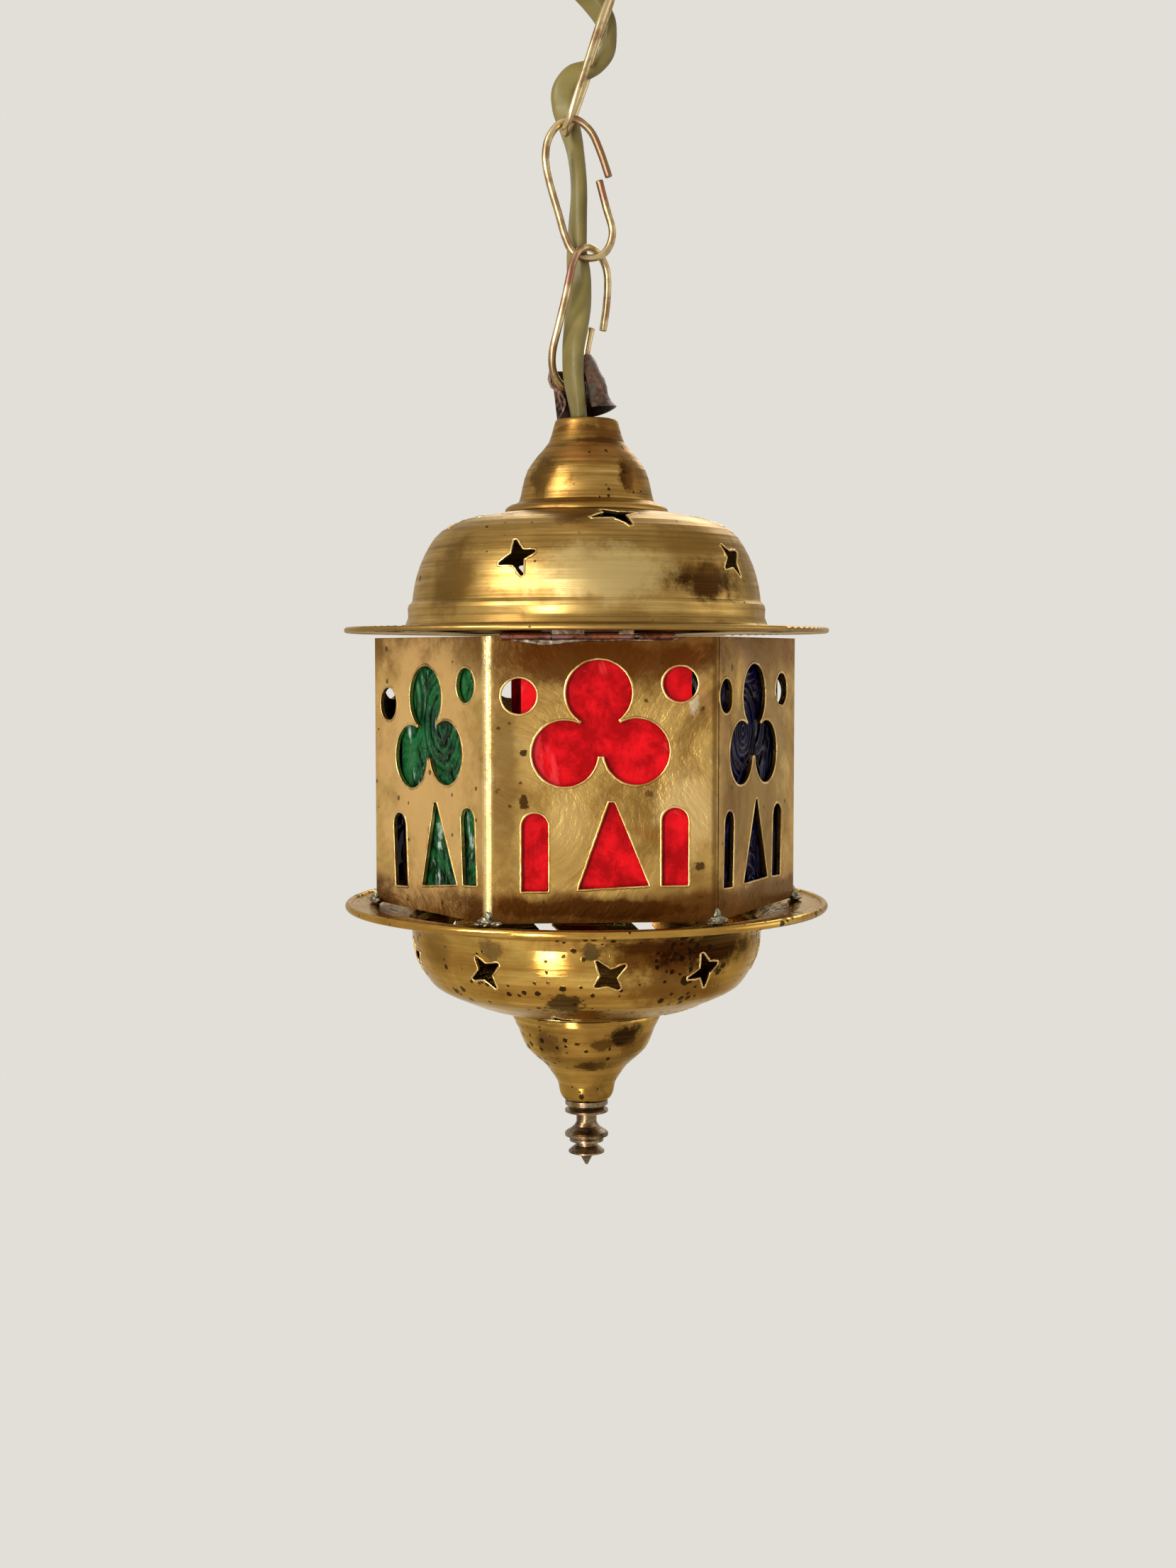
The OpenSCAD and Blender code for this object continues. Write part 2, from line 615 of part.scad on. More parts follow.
// Pierced pattern of a panel about the panel's middle
module panel_pattern() {
    for (a = [92, 209, -26]) translate([-0.4, 11.3] + lobe_pitch * [cos(a), sin(a)])
        circle(lobe_r);
    translate([-0.4, 11.3]) circle(lobe_r * 0.68);
    translate([-20.2, 20.5]) circle(hole_r);
    translate([19.2, 23.4]) circle(hole_r);
    translate([2.9, -5.4 - triangle_h]) polygon([[-triangle_w / 2, 0], [triangle_w / 2, 0.8],
        [0.2, triangle_h], [-1.2, triangle_h]]);
    for (s = [[-16.4, -8], [18, -6.8]]) translate(s) {
        translate([0, -slot_w / 2]) circle(slot_w / 2);
        translate([-slot_w / 2, -slot_h]) square([slot_w, slot_h - slot_w / 2]);
    }
}

// Places a piece drawn about the outer face of the front panel on panel k
module on_panel(k) {
    from_ceiling() rotate([0, 0, 60 * k]) translate([0, -body_apothem, body_mid]) children();
}

module hex_body() {
    color("darkgoldenrod") difference() {
        from_ceiling() translate([0, 0, body_bottom]) difference() {
            linear_extrude(body_h) polygon(hexagon(body_apothem, bend_r));
            translate([0, 0, -1]) linear_extrude(body_h + 2)
                polygon(hexagon(body_apothem - panel_t, bend_r - panel_t));
            rotate([0, 0, -60]) translate([corner_r - 6, 0.6, -1]) cube([8, seam_w, body_h + 2]);
        }
        for (k = [0:5]) on_panel(k) rotate([90, 0, 0]) linear_extrude(6, center = true)
            translate([panel_fit[k][0], panel_fit[k][1]]) rotate(panel_fit[k][2]) panel_pattern();
    }
}

module pane(k, tint) {
    h = pane_top - pane_bottom;
    half = (pane_w + pane_extra[k]) / 2;
    color(tint) from_ceiling() rotate([0, 0, 60 * k]) translate([pane_shift[k], -pane_y, pane_bottom])
        rotate([90, 0, 0]) translate([0, 0, -pane_t]) linear_extrude(pane_t)
            polygon(k == broken_pane
                ? [[9 - half, 0], [half, 0], [half, h], [-half, h], [-half, h * 0.44],
                    [0.5 - half, h * 0.3], [4.6 - half, h * 0.2]]
                : [[-half, 0], [half, 0], [half, h], [-half, h]]);
}

// Clip bent round the edge of a pane, with its front leaf against the panel's inner face
module pane_clip(w, pad) {
    inner = clip_t + pane_clear;
    back = inner + pane_t + pane_clear;
    rotate([90, 0, 90]) linear_extrude(w, center = true)
        polygon([[0, -pane_inset + 1.2], [clip_t, -pane_inset + 1.2], [clip_t, -clip_t - pane_clear],
            [back + clip_t, -clip_t - pane_clear], [back + clip_t, pad], [back, pad],
            [back, -pane_clear], [0, -pane_clear]]);
}

module pane_clips() {
    inner_y = panel_t;
    low = pane_bottom - body_mid;
    high = pane_top - body_mid;
    color("darkgoldenrod") for (k = [0:5]) on_panel(k) {
        for (x = low_clip_x) translate([x + (k == broken_pane ? 3 : 0), inner_y, low])
            pane_clip(6, low_clip_pad);
        for (x = clip_x) translate([x, inner_y, high]) mirror([0, 0, 1])
            pane_clip(6, clip_pad);
    }
}

module hinge_tubes_body() {
    color("sienna") {
        hinge_tube(left_tube_x, left_tube_l);
        hinge_tube(right_tube_x, right_tube_l);
    }
}

module hinge_solder_body() {
    fillet_h = 1.1;
    color("gray") difference() {
        for (s = [[left_tube_x, left_tube_l], [right_tube_x, right_tube_l]])
            from_ceiling() translate([s[0], -body_apothem - 1.1, body_top - fillet_h])
                rotate([90, 0, 90]) linear_extrude(s[1])
                    polygon([[0.3, 0.4], [1.1, 0], [1.1, fillet_h], [0, fillet_h - 0.2]]);
        on_hinge(left_tube_x - 1) cylinder(h = 50, r = tube_r + 0.02);
    }
}

module hinge_pin() {
    l = right_tube_x + right_tube_l - left_tube_x + 0.7;
    color("dimgray") on_hinge(left_tube_x - 0.35) cylinder(h = l, r = pin_r);
}

module corner_solder() {
    color("gray") from_ceiling() difference() {
        for (k = [0:5]) rotate([0, 0, 60 * k]) translate([corner_r - 1.3, 0, body_bottom])
            sphere(2.4, $fn = 24);
        translate([0, 0, body_bottom]) linear_extrude(4) polygon(hexagon(body_apothem, bend_r));
        translate([0, 0, body_bottom - base_gap + 0.05 - 5]) cylinder(h = 5, r = corner_r + 5);
    }
}

function bowl_line() = concat(
    [[flange_r - bead_r, base_z], [bowl_r + 11, base_z - 0.1]],
    curve(concat([[bowl_r + 7.6, base_z - 0.5], [bowl_r + 4.1, base_z - 1.6],
        [bowl_r + 1.5, base_z - 3.5], [bowl_r + 0.1, base_z - 6.1]],
        moved(scaled(bowl_shape, bowl_r, -bowl_h), base_z)), 2));

module bottom_bowl() {
    rim_r = 1;
    color("goldenrod") from_ceiling() difference() {
        union() {
            spun(bowl_line(), sheet_t);
            rotate_extrude() translate([flange_r - bead_r, base_z + half_t]) circle(rim_r, $fn = 24);
        }
        star_ring(bowl_r * 0.98, base_z - bowl_h * 0.435, bowl_stars_high, -22, star_r);
        star_ring(bowl_r * 0.605, base_z - bowl_h * 0.92, bowl_stars_low, -68, star_r);
    }
}

module bottom_bell() {
    path = concat(moved(scaled(curve(bell_shape, 2), bell_r, -bell_h), bell_z),
        [[stud_r + 0.15, bell_bottom]]);
    color("goldenrod") from_ceiling() spun(path, sheet_t);
}

module bell_stud() {
    color("silver") from_ceiling() translate([0, 0, bell_bottom - 5])
        cylinder(h = 5 + sheet_t + 4.4, r = stud_r);
}

module bell_nut() {
    color("silver") from_ceiling() translate([0, 0, bell_bottom + sheet_t + seat])
        hex_nut(7, stud_r + 0.05, 3.2);
}

module finial() {
    color("sienna") from_ceiling() translate([0, 0, bell_bottom - 0.15]) difference() {
        rotate_extrude() polygon(scaled(finial_shape, finial_r, -finial_h));
        translate([0, 0, -5.2]) cylinder(h = 6, r = stud_r + 0.05);
    }
}

ceiling_bracket();
ceiling_canopy();
canopy_nut();
ceiling_hook();
hook_nut();
flex_grommet();
terminal_block();
link_1();
link_2();
link_3();
flex_stretch(1);  // flex_1
flex_stretch(2);  // flex_2
flex_stretch(3);  // flex_3
flex_stretch(4);  // flex_4
hanger_eye();
eye_solder();
torn_cap();
neck_bell();
neck_bridge();
top_dome();
lamp_nipple();
lock_nut();
lampholder_cap();
lampholder_body();
thread_shell();
lamp_contact();
hinge_tube_lid();
hinge_solder_lid();
catch_tab();
hex_body();
pane(0, "firebrick");  // pane_1
pane(1, "royalblue");  // pane_2
pane(2, "seagreen");  // pane_3
pane(3, "firebrick");  // pane_4
pane(4, "royalblue");  // pane_5
pane(5, "seagreen");  // pane_6
pane_clips();
hinge_tubes_body();
hinge_solder_body();
hinge_pin();
corner_solder();
bottom_bowl();
bottom_bell();
bell_stud();
bell_nut();
finial();
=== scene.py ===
import math

import bmesh
import bpy
from mathutils import Matrix, Vector, noise


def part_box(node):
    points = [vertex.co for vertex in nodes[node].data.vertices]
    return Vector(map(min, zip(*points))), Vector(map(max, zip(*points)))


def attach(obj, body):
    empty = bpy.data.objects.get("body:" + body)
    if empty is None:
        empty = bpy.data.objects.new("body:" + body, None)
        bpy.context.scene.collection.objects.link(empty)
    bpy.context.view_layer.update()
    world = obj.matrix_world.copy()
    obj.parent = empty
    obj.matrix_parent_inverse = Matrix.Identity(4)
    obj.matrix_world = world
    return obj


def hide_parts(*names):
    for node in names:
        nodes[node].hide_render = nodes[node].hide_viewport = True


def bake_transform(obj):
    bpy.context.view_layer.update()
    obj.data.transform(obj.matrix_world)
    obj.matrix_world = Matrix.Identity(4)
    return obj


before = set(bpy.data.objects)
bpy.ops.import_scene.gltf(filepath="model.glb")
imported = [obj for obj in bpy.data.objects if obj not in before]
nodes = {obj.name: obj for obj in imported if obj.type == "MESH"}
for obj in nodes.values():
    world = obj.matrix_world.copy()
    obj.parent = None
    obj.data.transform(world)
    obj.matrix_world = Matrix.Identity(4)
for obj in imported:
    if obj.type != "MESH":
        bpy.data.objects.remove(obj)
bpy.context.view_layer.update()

# Lengths are in metres, apart from those that MM is multiplied with: the tables of places and
# sizes on the lantern, and the depths of bumps, are in millimetres
MM = 0.001
NECK_Z = -0.158      # the neck's mouth, below the ceiling
FLANGE_Z = -0.2149   # mid plane of the lid's flange


def rgb(r, g, b):
    """Linear colour, with alpha, of an sRGB one written as 0 to 255."""
    def linear(share):
        return share / 12.92 if share <= 0.04045 else ((share + 0.055) / 1.055) ** 2.4
    return (linear(r / 255), linear(g / 255), linear(b / 255), 1.0)


def bearing(azimuth, elevation):
    """Unit vector out from the lantern. Azimuth 0 is its front, -Y, and 90 its right, +X."""
    a, e = math.radians(azimuth), math.radians(elevation)
    return Vector((math.sin(a) * math.cos(e), -math.cos(a) * math.cos(e), math.sin(e)))


def add_aimed(name, data, at, ahead):
    made = bpy.data.objects.new(name, data)
    made.location = at
    made.rotation_mode = "QUATERNION"
    made.rotation_quaternion = ahead.to_track_quat("-Z", "Y")
    bpy.context.scene.collection.objects.link(made)
    return made


def add_mesh(name, bm, material):
    """Object of a bmesh, which is freed."""
    mesh = bpy.data.meshes.new(name)
    bm.to_mesh(mesh)
    bm.free()
    mesh.materials.append(material)
    made = bpy.data.objects.new(name, mesh)
    bpy.context.scene.collection.objects.link(made)
    return made


# Camera: its place, aim and focal length, in pixels of the photograph, fit the ellipses of the
# two flanges

SENSOR, PHOTO_HEIGHT, FOCAL = 36, 2212, 2750
CAMERA_AT = (-0.0401, -0.5215, FLANGE_Z - 0.0076)
CAMERA_AZIMUTH, CAMERA_PITCH = -4.440107, 3.66


def make_camera():
    data = bpy.data.cameras.new("camera")
    data.lens, data.sensor_width = SENSOR * FOCAL / PHOTO_HEIGHT, SENSOR
    data.clip_start, data.clip_end = 0.01, 30
    ahead = -bearing(CAMERA_AZIMUTH, CAMERA_PITCH)
    bpy.context.scene.camera = add_aimed("camera", data, CAMERA_AT, ahead)


make_camera()


# Sweeps along curves

def spline(a, b, c, d, t):
    """Point of a Catmull-Rom curve between b and c."""
    return (b + t * (c - a) / 2 + t * t * (a - 2.5 * b + 2 * c - d / 2)
            + t ** 3 * (1.5 * b - 1.5 * c + (d - a) / 2))


def curve(points, steps):
    """Smooth open line through points, with a number of steps from each to the next."""
    p = [Vector(q) for q in points]
    made = []
    for i in range(len(p) - 1):
        a, d = p[max(i - 1, 0)], p[min(i + 2, len(p) - 1)]
        made += [spline(a, p[i], p[i + 1], d, k / steps) for k in range(steps)]
    return made + [p[-1]]


def tangents(line):
    return [(line[min(i + 1, len(line) - 1)] - line[max(i - 1, 0)]).normalized()
            for i in range(len(line))]


def from_neck(points):
    return [Vector((p[0] * MM, p[1] * MM, p[2] * MM + NECK_Z)) for p in points]


def place_section(centre, tangent, wanted, section):
    """A section's points across a line, with its first axis turned the way that is wanted."""
    u = (wanted - wanted.dot(tangent) * tangent).normalized()
    v = tangent.cross(u)
    return [centre + s[0] * u + s[1] * v for s in section]


def middles_of(rings):
    return [sum(r, Vector()) / len(r) for r in rings]


BULGE = ((0.96, 0.5), (0.86, 0.86), (0.68, 1.0))   # rings of a rounded end: share of size, lift


def skin(name, rings, material, round_ends=0.0, start=0.0):
    """Closed tube through rings of points. Its UV map holds the length run, from start, and the
    share of a turn. round_ends is how far the ends bulge."""
    if round_ends:
        def bulge(rim, middle, out):
            return [[middle + (q - middle) * share + out * lift * round_ends for q in rim]
                    for share, lift in BULGE]
        middles = middles_of(rings)
        first = bulge(rings[0], middles[0], (middles[0] - middles[1]).normalized())
        last = bulge(rings[-1], middles[-1], (middles[-1] - middles[-2]).normalized())
        rings = first[::-1] + rings + last
    middles = middles_of(rings)
    run = [start]
    for a, b in zip(middles, middles[1:]):
        run.append(run[-1] + (b - a).length)
    bm = bmesh.new()
    uv = bm.loops.layers.uv.new("UVMap")
    verts = [[bm.verts.new(q) for q in r] for r in rings]
    count = len(rings[0])
    for i in range(len(verts) - 1):
        for j in range(count):
            k = (j + 1) % count
            face = bm.faces.new((verts[i][j], verts[i][k], verts[i + 1][k], verts[i + 1][j]))
            face.smooth = True
            for loop, (m, n) in zip(face.loops, ((i, j), (i, j + 1), (i + 1, j + 1), (i + 1, j))):
                loop[uv].uv = (run[m], n / count)
    for rim in (verts[0][::-1], verts[-1]):
        for edge in bm.faces.new(rim).edges:
            edge.smooth = False
    bmesh.ops.recalc_face_normals(bm, faces=bm.faces)
    return add_mesh(name, bm, material)


# Chain links: the routes of their wires, with heights over the neck's mouth. The first, fifth
# and ninth points give the plane that a link lies in

LINKS = {
    "link_1": ((1.2, 7.3, 93.4), (2.6, 7.2, 97.5), (5.2, 7, 104.5), (7, 5.4, 110),
               (7.9, 2.3, 112.6), (7.9, -2.3, 112.6), (6.2, -5.6, 108.8), (3.6, -7, 101.7),
               (1.3, -7.1, 94.8), (-1.4, -7.1, 86.4), (-3.8, -6.8, 79.2), (-5, -5.2, 75.6),
               (-5.6, -2.2, 74.1), (-5.5, 2.2, 74.1), (-4.4, 5.4, 76.3), (-2.3, 7, 81.6),
               (0.6, 7.3, 89.6)),
    "link_2": ((5.8, -0.5, 62.6), (3.7, -0.3, 68.8), (1.2, 0, 74.1), (-2.6, 0, 77.1),
               (-6.6, 0, 76.4), (-9.9, 0, 72.4), (-10.8, 0, 67), (-9.8, 0, 61), (-7.4, 0, 52.8),
               (-5.6, 0, 46.6), (-3.4, 0, 42.7), (1.2, 0, 41.3), (5.2, 0, 43.2),
               (6.9, 0.2, 48.2), (5.2, 0.4, 54.8), (3.5, 0.6, 61.4)),
    "link_3": ((4.9, 6.1, 23.6), (5.8, 5.9, 30), (6.1, 5.5, 36.4), (5.4, 4.7, 40.3),
               (3.4, 2.8, 43.1), (0.6, 0, 44.1), (-2.2, -2.9, 42.6), (-3.9, -4.6, 39.2),
               (-4.9, -5.4, 35), (-6.2, -5.6, 29), (-7.8, -5.4, 22.5), (-9.3, -4.6, 16),
               (-9.1, -3.2, 11.5), (-7.5, -1.7, 8.6), (-5.3, -0.5, 7.2), (-2.9, 0.8, 6.9),
               (-1.3, 2.6, 8.7), (-0.4, 4.1, 13), (0.5, 4.7, 18.5), (1.6, 4.8, 23.6))}
WIRE_R, WIRE_SIDES, WIRE_BULGE, WIRE_STEPS = 1.0 * MM, 16, 0.3 * MM, 6


def make_links(material):
    angles = [math.tau * i / WIRE_SIDES for i in range(WIRE_SIDES)]
    section = [(WIRE_R * math.cos(a), WIRE_R * math.sin(a)) for a in angles]
    for name, route in LINKS.items():
        line = from_neck(curve(route, WIRE_STEPS))
        first, fifth, ninth = line[0], line[4 * WIRE_STEPS], line[8 * WIRE_STEPS]
        normal = (fifth - first).cross(ninth - first)
        wire = skin(f"{name}_wire", [place_section(c, t, normal, section)
                                     for c, t in zip(line, tangents(line))], material, WIRE_BULGE)
        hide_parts(name)
        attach(wire, name)


# Flat flex, in four stretches that each bend across one joint of the chain. A point of its
# route is x, y, the height over the neck's mouth and the turn of its broad side in degrees

FLEX = ((-12, 7, 148, 0), (-12, 7, 138, 0), (-12, 7, 131, 0), (-10.5, 7.4, 126, -5),
        (-5.5, 9, 119, -15), (2.2, 11, 111.6, -35), (5.9, 12.4, 107, -60), (6.9, 12.6, 102.5, -82),
        (6.1, 12.6, 98, -72), (2.9, 12.4, 94.7, -40), (-2.1, 12.2, 92, -8), (-5, 12, 88, 0),
        (-5, 12, 83.3, -25), (-3.6, 11.3, 78.2, -55), (-2.3, 8.2, 71, -80), (-1.6, 5.4, 61, -84),
        (-2, 4.7, 51, -72), (-2.2, 4.7, 43.5, -60), (-1.8, 3.6, 37.5, -35), (-2.1, 0.8, 29.5, -5),
        (-2.9, -2.4, 23.4, -30), (-3.8, -4.6, 17, -52), (-3.9, -5.1, 10.4, -60),
        (-3.1, -4.6, 4.8, -72), (-2.3, -3.1, 0, -86), (-1.4, -1.9, -5.5, -90),
        (-0.3, -0.4, -11.5, -90), (0, 0, -15, -90), (0, 0, -22, -90), (0, 0, -28, -90))
FLEX_CUTS = (0, 8, 15, 21, 29)    # points of the route at which a stretch ends
FLEX_W, FLEX_T, FLEX_STEPS = 0.0068, 0.0039, 8


def flex_section():
    """Outline of the flat flex: two half circles of nine points."""
    made = []
    for side, first in ((1, -90), (-1, 90)):
        for i in range(9):
            a = math.radians(first + 22.5 * i)
            made.append((FLEX_T / 2 * math.cos(a) + side * (FLEX_W - FLEX_T) / 2,
                         FLEX_T / 2 * math.sin(a)))
    return made


def make_flex(material):
    route = curve(FLEX, FLEX_STEPS)
    line = from_neck(route)
    faces_to = [Vector((math.cos(math.radians(p[3])), math.sin(math.radians(p[3])), 0))
                for p in route]
    section = flex_section()
    rings = [place_section(c, t, f, section) for c, t, f in zip(line, tangents(line), faces_to)]
    run = 0.0
    for k in range(4):
        first, last = FLEX_CUTS[k] * FLEX_STEPS, FLEX_CUTS[k + 1] * FLEX_STEPS
        path = line[first:last + 1]
        tube = skin(f"flex_stretch_{k + 1}", rings[first:last + 1], material, start=run)
        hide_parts(f"flex_{k + 1}")
        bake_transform(tube)
        length = sum((b - a).length for a, b in zip(path, path[1:]))
        run += length


# Node graphs

class Nodes:
    """A node tree, with short calls for its nodes."""

    def __init__(self, tree):
        self.tree = tree

    def put(self, socket, value):
        if isinstance(value, bpy.types.NodeSocket):
            self.tree.links.new(value, socket)
        else:
            socket.default_value = value

    def node(self, kind, inputs=None, **settings):
        made = self.tree.nodes.new(kind)
        for name, value in settings.items():
            setattr(made, name, value)
        for name, value in (inputs or {}).items():
            self.put(made.inputs[name], value)
        return made

    def math(self, operation, a, b=0.0):
        return self.node("ShaderNodeMath", {0: a, 1: b}, operation=operation).outputs[0]


RAGGED = 2.4        # how far noise moves a patch's edge, in the patch's half widths
PATCH_DEPTH = 25    # a patch's half size across the sheet, so that it reaches both faces


class Graph(Nodes):
    """A material of one Principled shader. place is where its textures are read."""

    def __init__(self, name, metal=0.0):
        self.material = bpy.data.materials.new(name)
        self.material.use_nodes = True
        super().__init__(self.material.node_tree)
        self.bsdf = self.tree.nodes["Principled BSDF"]
        self.place = self.node("ShaderNodeTexCoord").outputs["Object"]
        self.set(Metallic=metal)

    def set(self, **values):
        for name, value in values.items():
            self.put(self.bsdf.inputs[name.replace("_", " ")], value)

    def total(self, *parts):
        """Sum of sockets, each with its share."""
        made = self.math("MULTIPLY", *parts[0])
        for part in parts[1:]:
            made = self.math("ADD", made, self.math("MULTIPLY", *part))
        return made

    def scaled(self, x, y, z):
        return self.node("ShaderNodeVectorMath", {0: self.place, 1: (x, y, z)},
                         operation="MULTIPLY").outputs[0]

    def noise(self, scale, detail=4.0, rough=0.55, place=None, warp=0.0):
        return self.node("ShaderNodeTexNoise", {
            "Vector": place or self.place, "Scale": scale, "Detail": detail,
            "Roughness": rough, "Distortion": warp}).outputs["Fac"]

    def span(self, value, low, high, to_low=0.0, to_high=1.0):
        """Smooth step between two values, which may be the higher one first."""
        return self.node("ShaderNodeMapRange", {
            "Value": value, "From Min": low, "From Max": high, "To Min": to_low,
            "To Max": to_high}, interpolation_type="SMOOTHSTEP").outputs[0]

    def mix(self, share, a, b):
        made = self.node("ShaderNodeMix", data_type="RGBA")
        for i, value in ((0, share), (6, a), (7, b)):
            self.put(made.inputs[i], value)
        return made.outputs[2]

    def tinted(self, colour, where, share, tone):
        """The colour with a share of a tone where the mask is 1."""
        return self.mix(self.math("MULTIPLY", where, share), colour, tone)

    def xyz(self):
        return self.node("ShaderNodeSeparateXYZ", {0: self.place}).outputs

    def spots(self, scale, size, share, ragged=0.3):
        """Ragged spots, 1 inside: slices of balls in a share of the cells of a 3-D grid."""
        warp = self.node("ShaderNodeVectorMath", {
            0: self.node("ShaderNodeTexNoise", {
                "Vector": self.place, "Scale": scale * 3, "Detail": 3.0}).outputs["Color"],
            1: (ragged / scale,) * 3, 2: self.place}, operation="MULTIPLY_ADD").outputs[0]
        cells = self.node("ShaderNodeTexVoronoi", {"Vector": warp, "Scale": scale})
        chance = self.node("ShaderNodeSeparateColor", {0: cells.outputs["Color"]}).outputs
        reach = self.math("MULTIPLY", size,
                          self.math("ADD", self.math("MULTIPLY", chance[1], 0.6), 0.4))
        past = self.math("SUBTRACT", cells.outputs["Distance"], reach)
        return self.math("MULTIPLY", self.span(past, 0.04, -0.05),
                         self.math("LESS_THAN", chance[0], share))

    def patch(self, at, turn, wide, tall, soft, scale):
        """A ragged patch, 1 inside, of the given half width and half height. turn is the way
        that it faces, soft the width of its edge and scale that of the noise in it."""
        centre = Vector(at) * MM + Vector((0, 0, FLANGE_Z))
        local = self.node("ShaderNodeMapping", {
            "Vector": self.place, "Location": centre, "Rotation": (0, 0, math.radians(turn)),
            "Scale": (wide * MM, PATCH_DEPTH * MM, tall * MM)}, vector_type="TEXTURE").outputs[0]
        away = self.node("ShaderNodeVectorMath", {0: local}, operation="LENGTH").outputs["Value"]
        away = self.math("ADD", away,
                         self.math("MULTIPLY", self.noise(scale, 7.0, 0.72), RAGGED))
        middle = 1.0 + RAGGED / 2
        return self.span(away, middle + soft / 2, middle - soft / 2)

    def stains_and_painted_light(self, colour, patches, cover=1.0):
        """The colour under patches of stain and of painted shade, reflection and highlight; cover
        thins them.
        """
        for *shape, tone, strength in patches:
            colour = self.tinted(colour, self.patch(*shape),
                                 self.math("MULTIPLY", cover, strength), rgb(*tone))
        return colour

    def bump(self, height, depth, strength, under=None):
        inputs = {"Height": height, "Distance": depth, "Strength": strength}
        if under is not None:
            inputs["Normal"] = under
        return self.node("ShaderNodeBump", inputs).outputs[0]


# Patches of tone, as (place, facing, half width, half height, softness, noise scale, tone,
# strength):
# stains, and painted shade, reflections and highlights where a comment says so. Places and sizes
# are in mm from the lantern's axis and the flange. Those on round sheets are written by azimuth,
# radius and height

def round_patches(rows):
    made = []
    for azimuth, radius, height, *rest in rows:
        a = math.radians(azimuth)
        made.append(((radius * math.sin(a), -radius * math.cos(a), height), azimuth, *rest))
    return made


DOME_PATCHES = round_patches((
    (-52, 44, 13, 7, 9, 0.95, 90.0, (92, 62, 22), 0.78),
    # painted shade: these two rows paint the dark reflection on the front right
    (38, 44, 12, 10, 4.8, 0.9, 200.0, (50, 26, 5), 1.0),
    (35, 42, 20, 9, 6, 0.9, 120.0, (112, 78, 30), 0.65),
    (-10, 28, 29, 6, 3, 0.6, 260.0, (92, 60, 24), 0.75),
    # painted reflection: lightens the front of the dome
    (2, 44, 13, 15, 7, 0.9, 120.0, (226, 200, 136), 0.5),
    (62, 42, 14, 5, 9, 0.8, 120.0, (110, 84, 44), 0.6),
    (25, 30, 28, 9, 3, 0.8, 260.0, (104, 74, 34), 0.5),
    (150, 44, 13, 11, 6, 0.8, 260.0, (88, 56, 20), 0.8),
    (-125, 44, 16, 8, 8, 0.8, 260.0, (96, 64, 26), 0.7),
    (95, 44, 12, 9, 7, 0.9, 260.0, (86, 54, 20), 0.7)))
NECK_PATCHES = round_patches((
    (-50, 16, 40, 4, 5.5, 0.7, 260.0, (78, 52, 20), 0.88),
    # painted shade: the dark reflection on the front right
    (35, 15, 40, 2.4, 4.2, 0.6, 400.0, (58, 28, 6), 1.0),
    (48, 14, 42, 4, 6, 0.8, 260.0, (100, 64, 26), 0.75),
    (34, 10, 52, 5, 4.5, 0.8, 260.0, (98, 58, 22), 0.8),
    (2, 12, 46, 9, 2.6, 0.9, 260.0, (150, 100, 48), 0.6),
    (20, 12, 49.5, 7, 0.8, 0.6, 260.0, (74, 42, 14), 0.85),
    (-20, 12, 53, 6, 0.8, 0.6, 260.0, (92, 60, 24), 0.8),
    (160, 15, 40, 5, 5, 0.7, 260.0, (80, 48, 18), 0.8)))
BOWL_PATCHES = round_patches((
    # painted shadow: a brown band round the bowl just under the flange
    (0, 0, -76, 90, 2.2, 0.8, 120.0, (96, 58, 20), 0.6),
    # painted shade: these four rows paint the dark reflection on the front right
    (20, 44, -80.5, 14, 5, 0.9, 120.0, (98, 54, 14), 0.92),
    (38, 42, -80.2, 18, 5.6, 0.7, 160.0, (42, 13, 3), 1.0),
    (16, 42, -78.4, 14, 2.0, 0.9, 120.0, (66, 32, 9), 0.9),
    (26, 42, -89, 14, 5, 0.9, 120.0, (104, 60, 20), 0.85),
    (-12, 36, -93.5, 4.4, 2.8, 0.4, 620.0, (42, 26, 14), 0.92),
    (-35, 44, -80, 3.2, 2.8, 0.6, 420.0, (84, 64, 44), 0.6),
    (-3, 44, -79.5, 2.4, 2.2, 0.5, 420.0, (60, 44, 28), 0.8),
    # painted shade on the left side
    (-60, 42, -82, 6, 6, 0.9, 120.0, (120, 88, 44), 0.6),
    (-118, 44, -82, 9, 5, 0.7, 260.0, (74, 34, 10), 0.85),
    (150, 43, -84, 12, 5, 0.8, 260.0, (80, 40, 14), 0.8)))
BELL_PATCHES = round_patches((
    # painted shade: these two rows paint the dark reflection on the front right
    (30, 17, -106.5, 5, 3, 0.6, 260.0, (36, 16, 6), 1.0),
    (46, 15, -110, 5, 3, 0.7, 260.0, (92, 56, 20), 0.7),
    (10, 17, -108.5, 3, 1.6, 0.4, 420.0, (76, 46, 16), 0.8),
    (3, 9, -115, 4.5, 1.5, 0.5, 420.0, (60, 36, 16), 0.85),
    (-40, 16, -109, 4, 3, 0.6, 420.0, (92, 60, 30), 0.75),
    (170, 17, -107, 5, 3, 0.6, 260.0, (60, 34, 14), 0.85)))
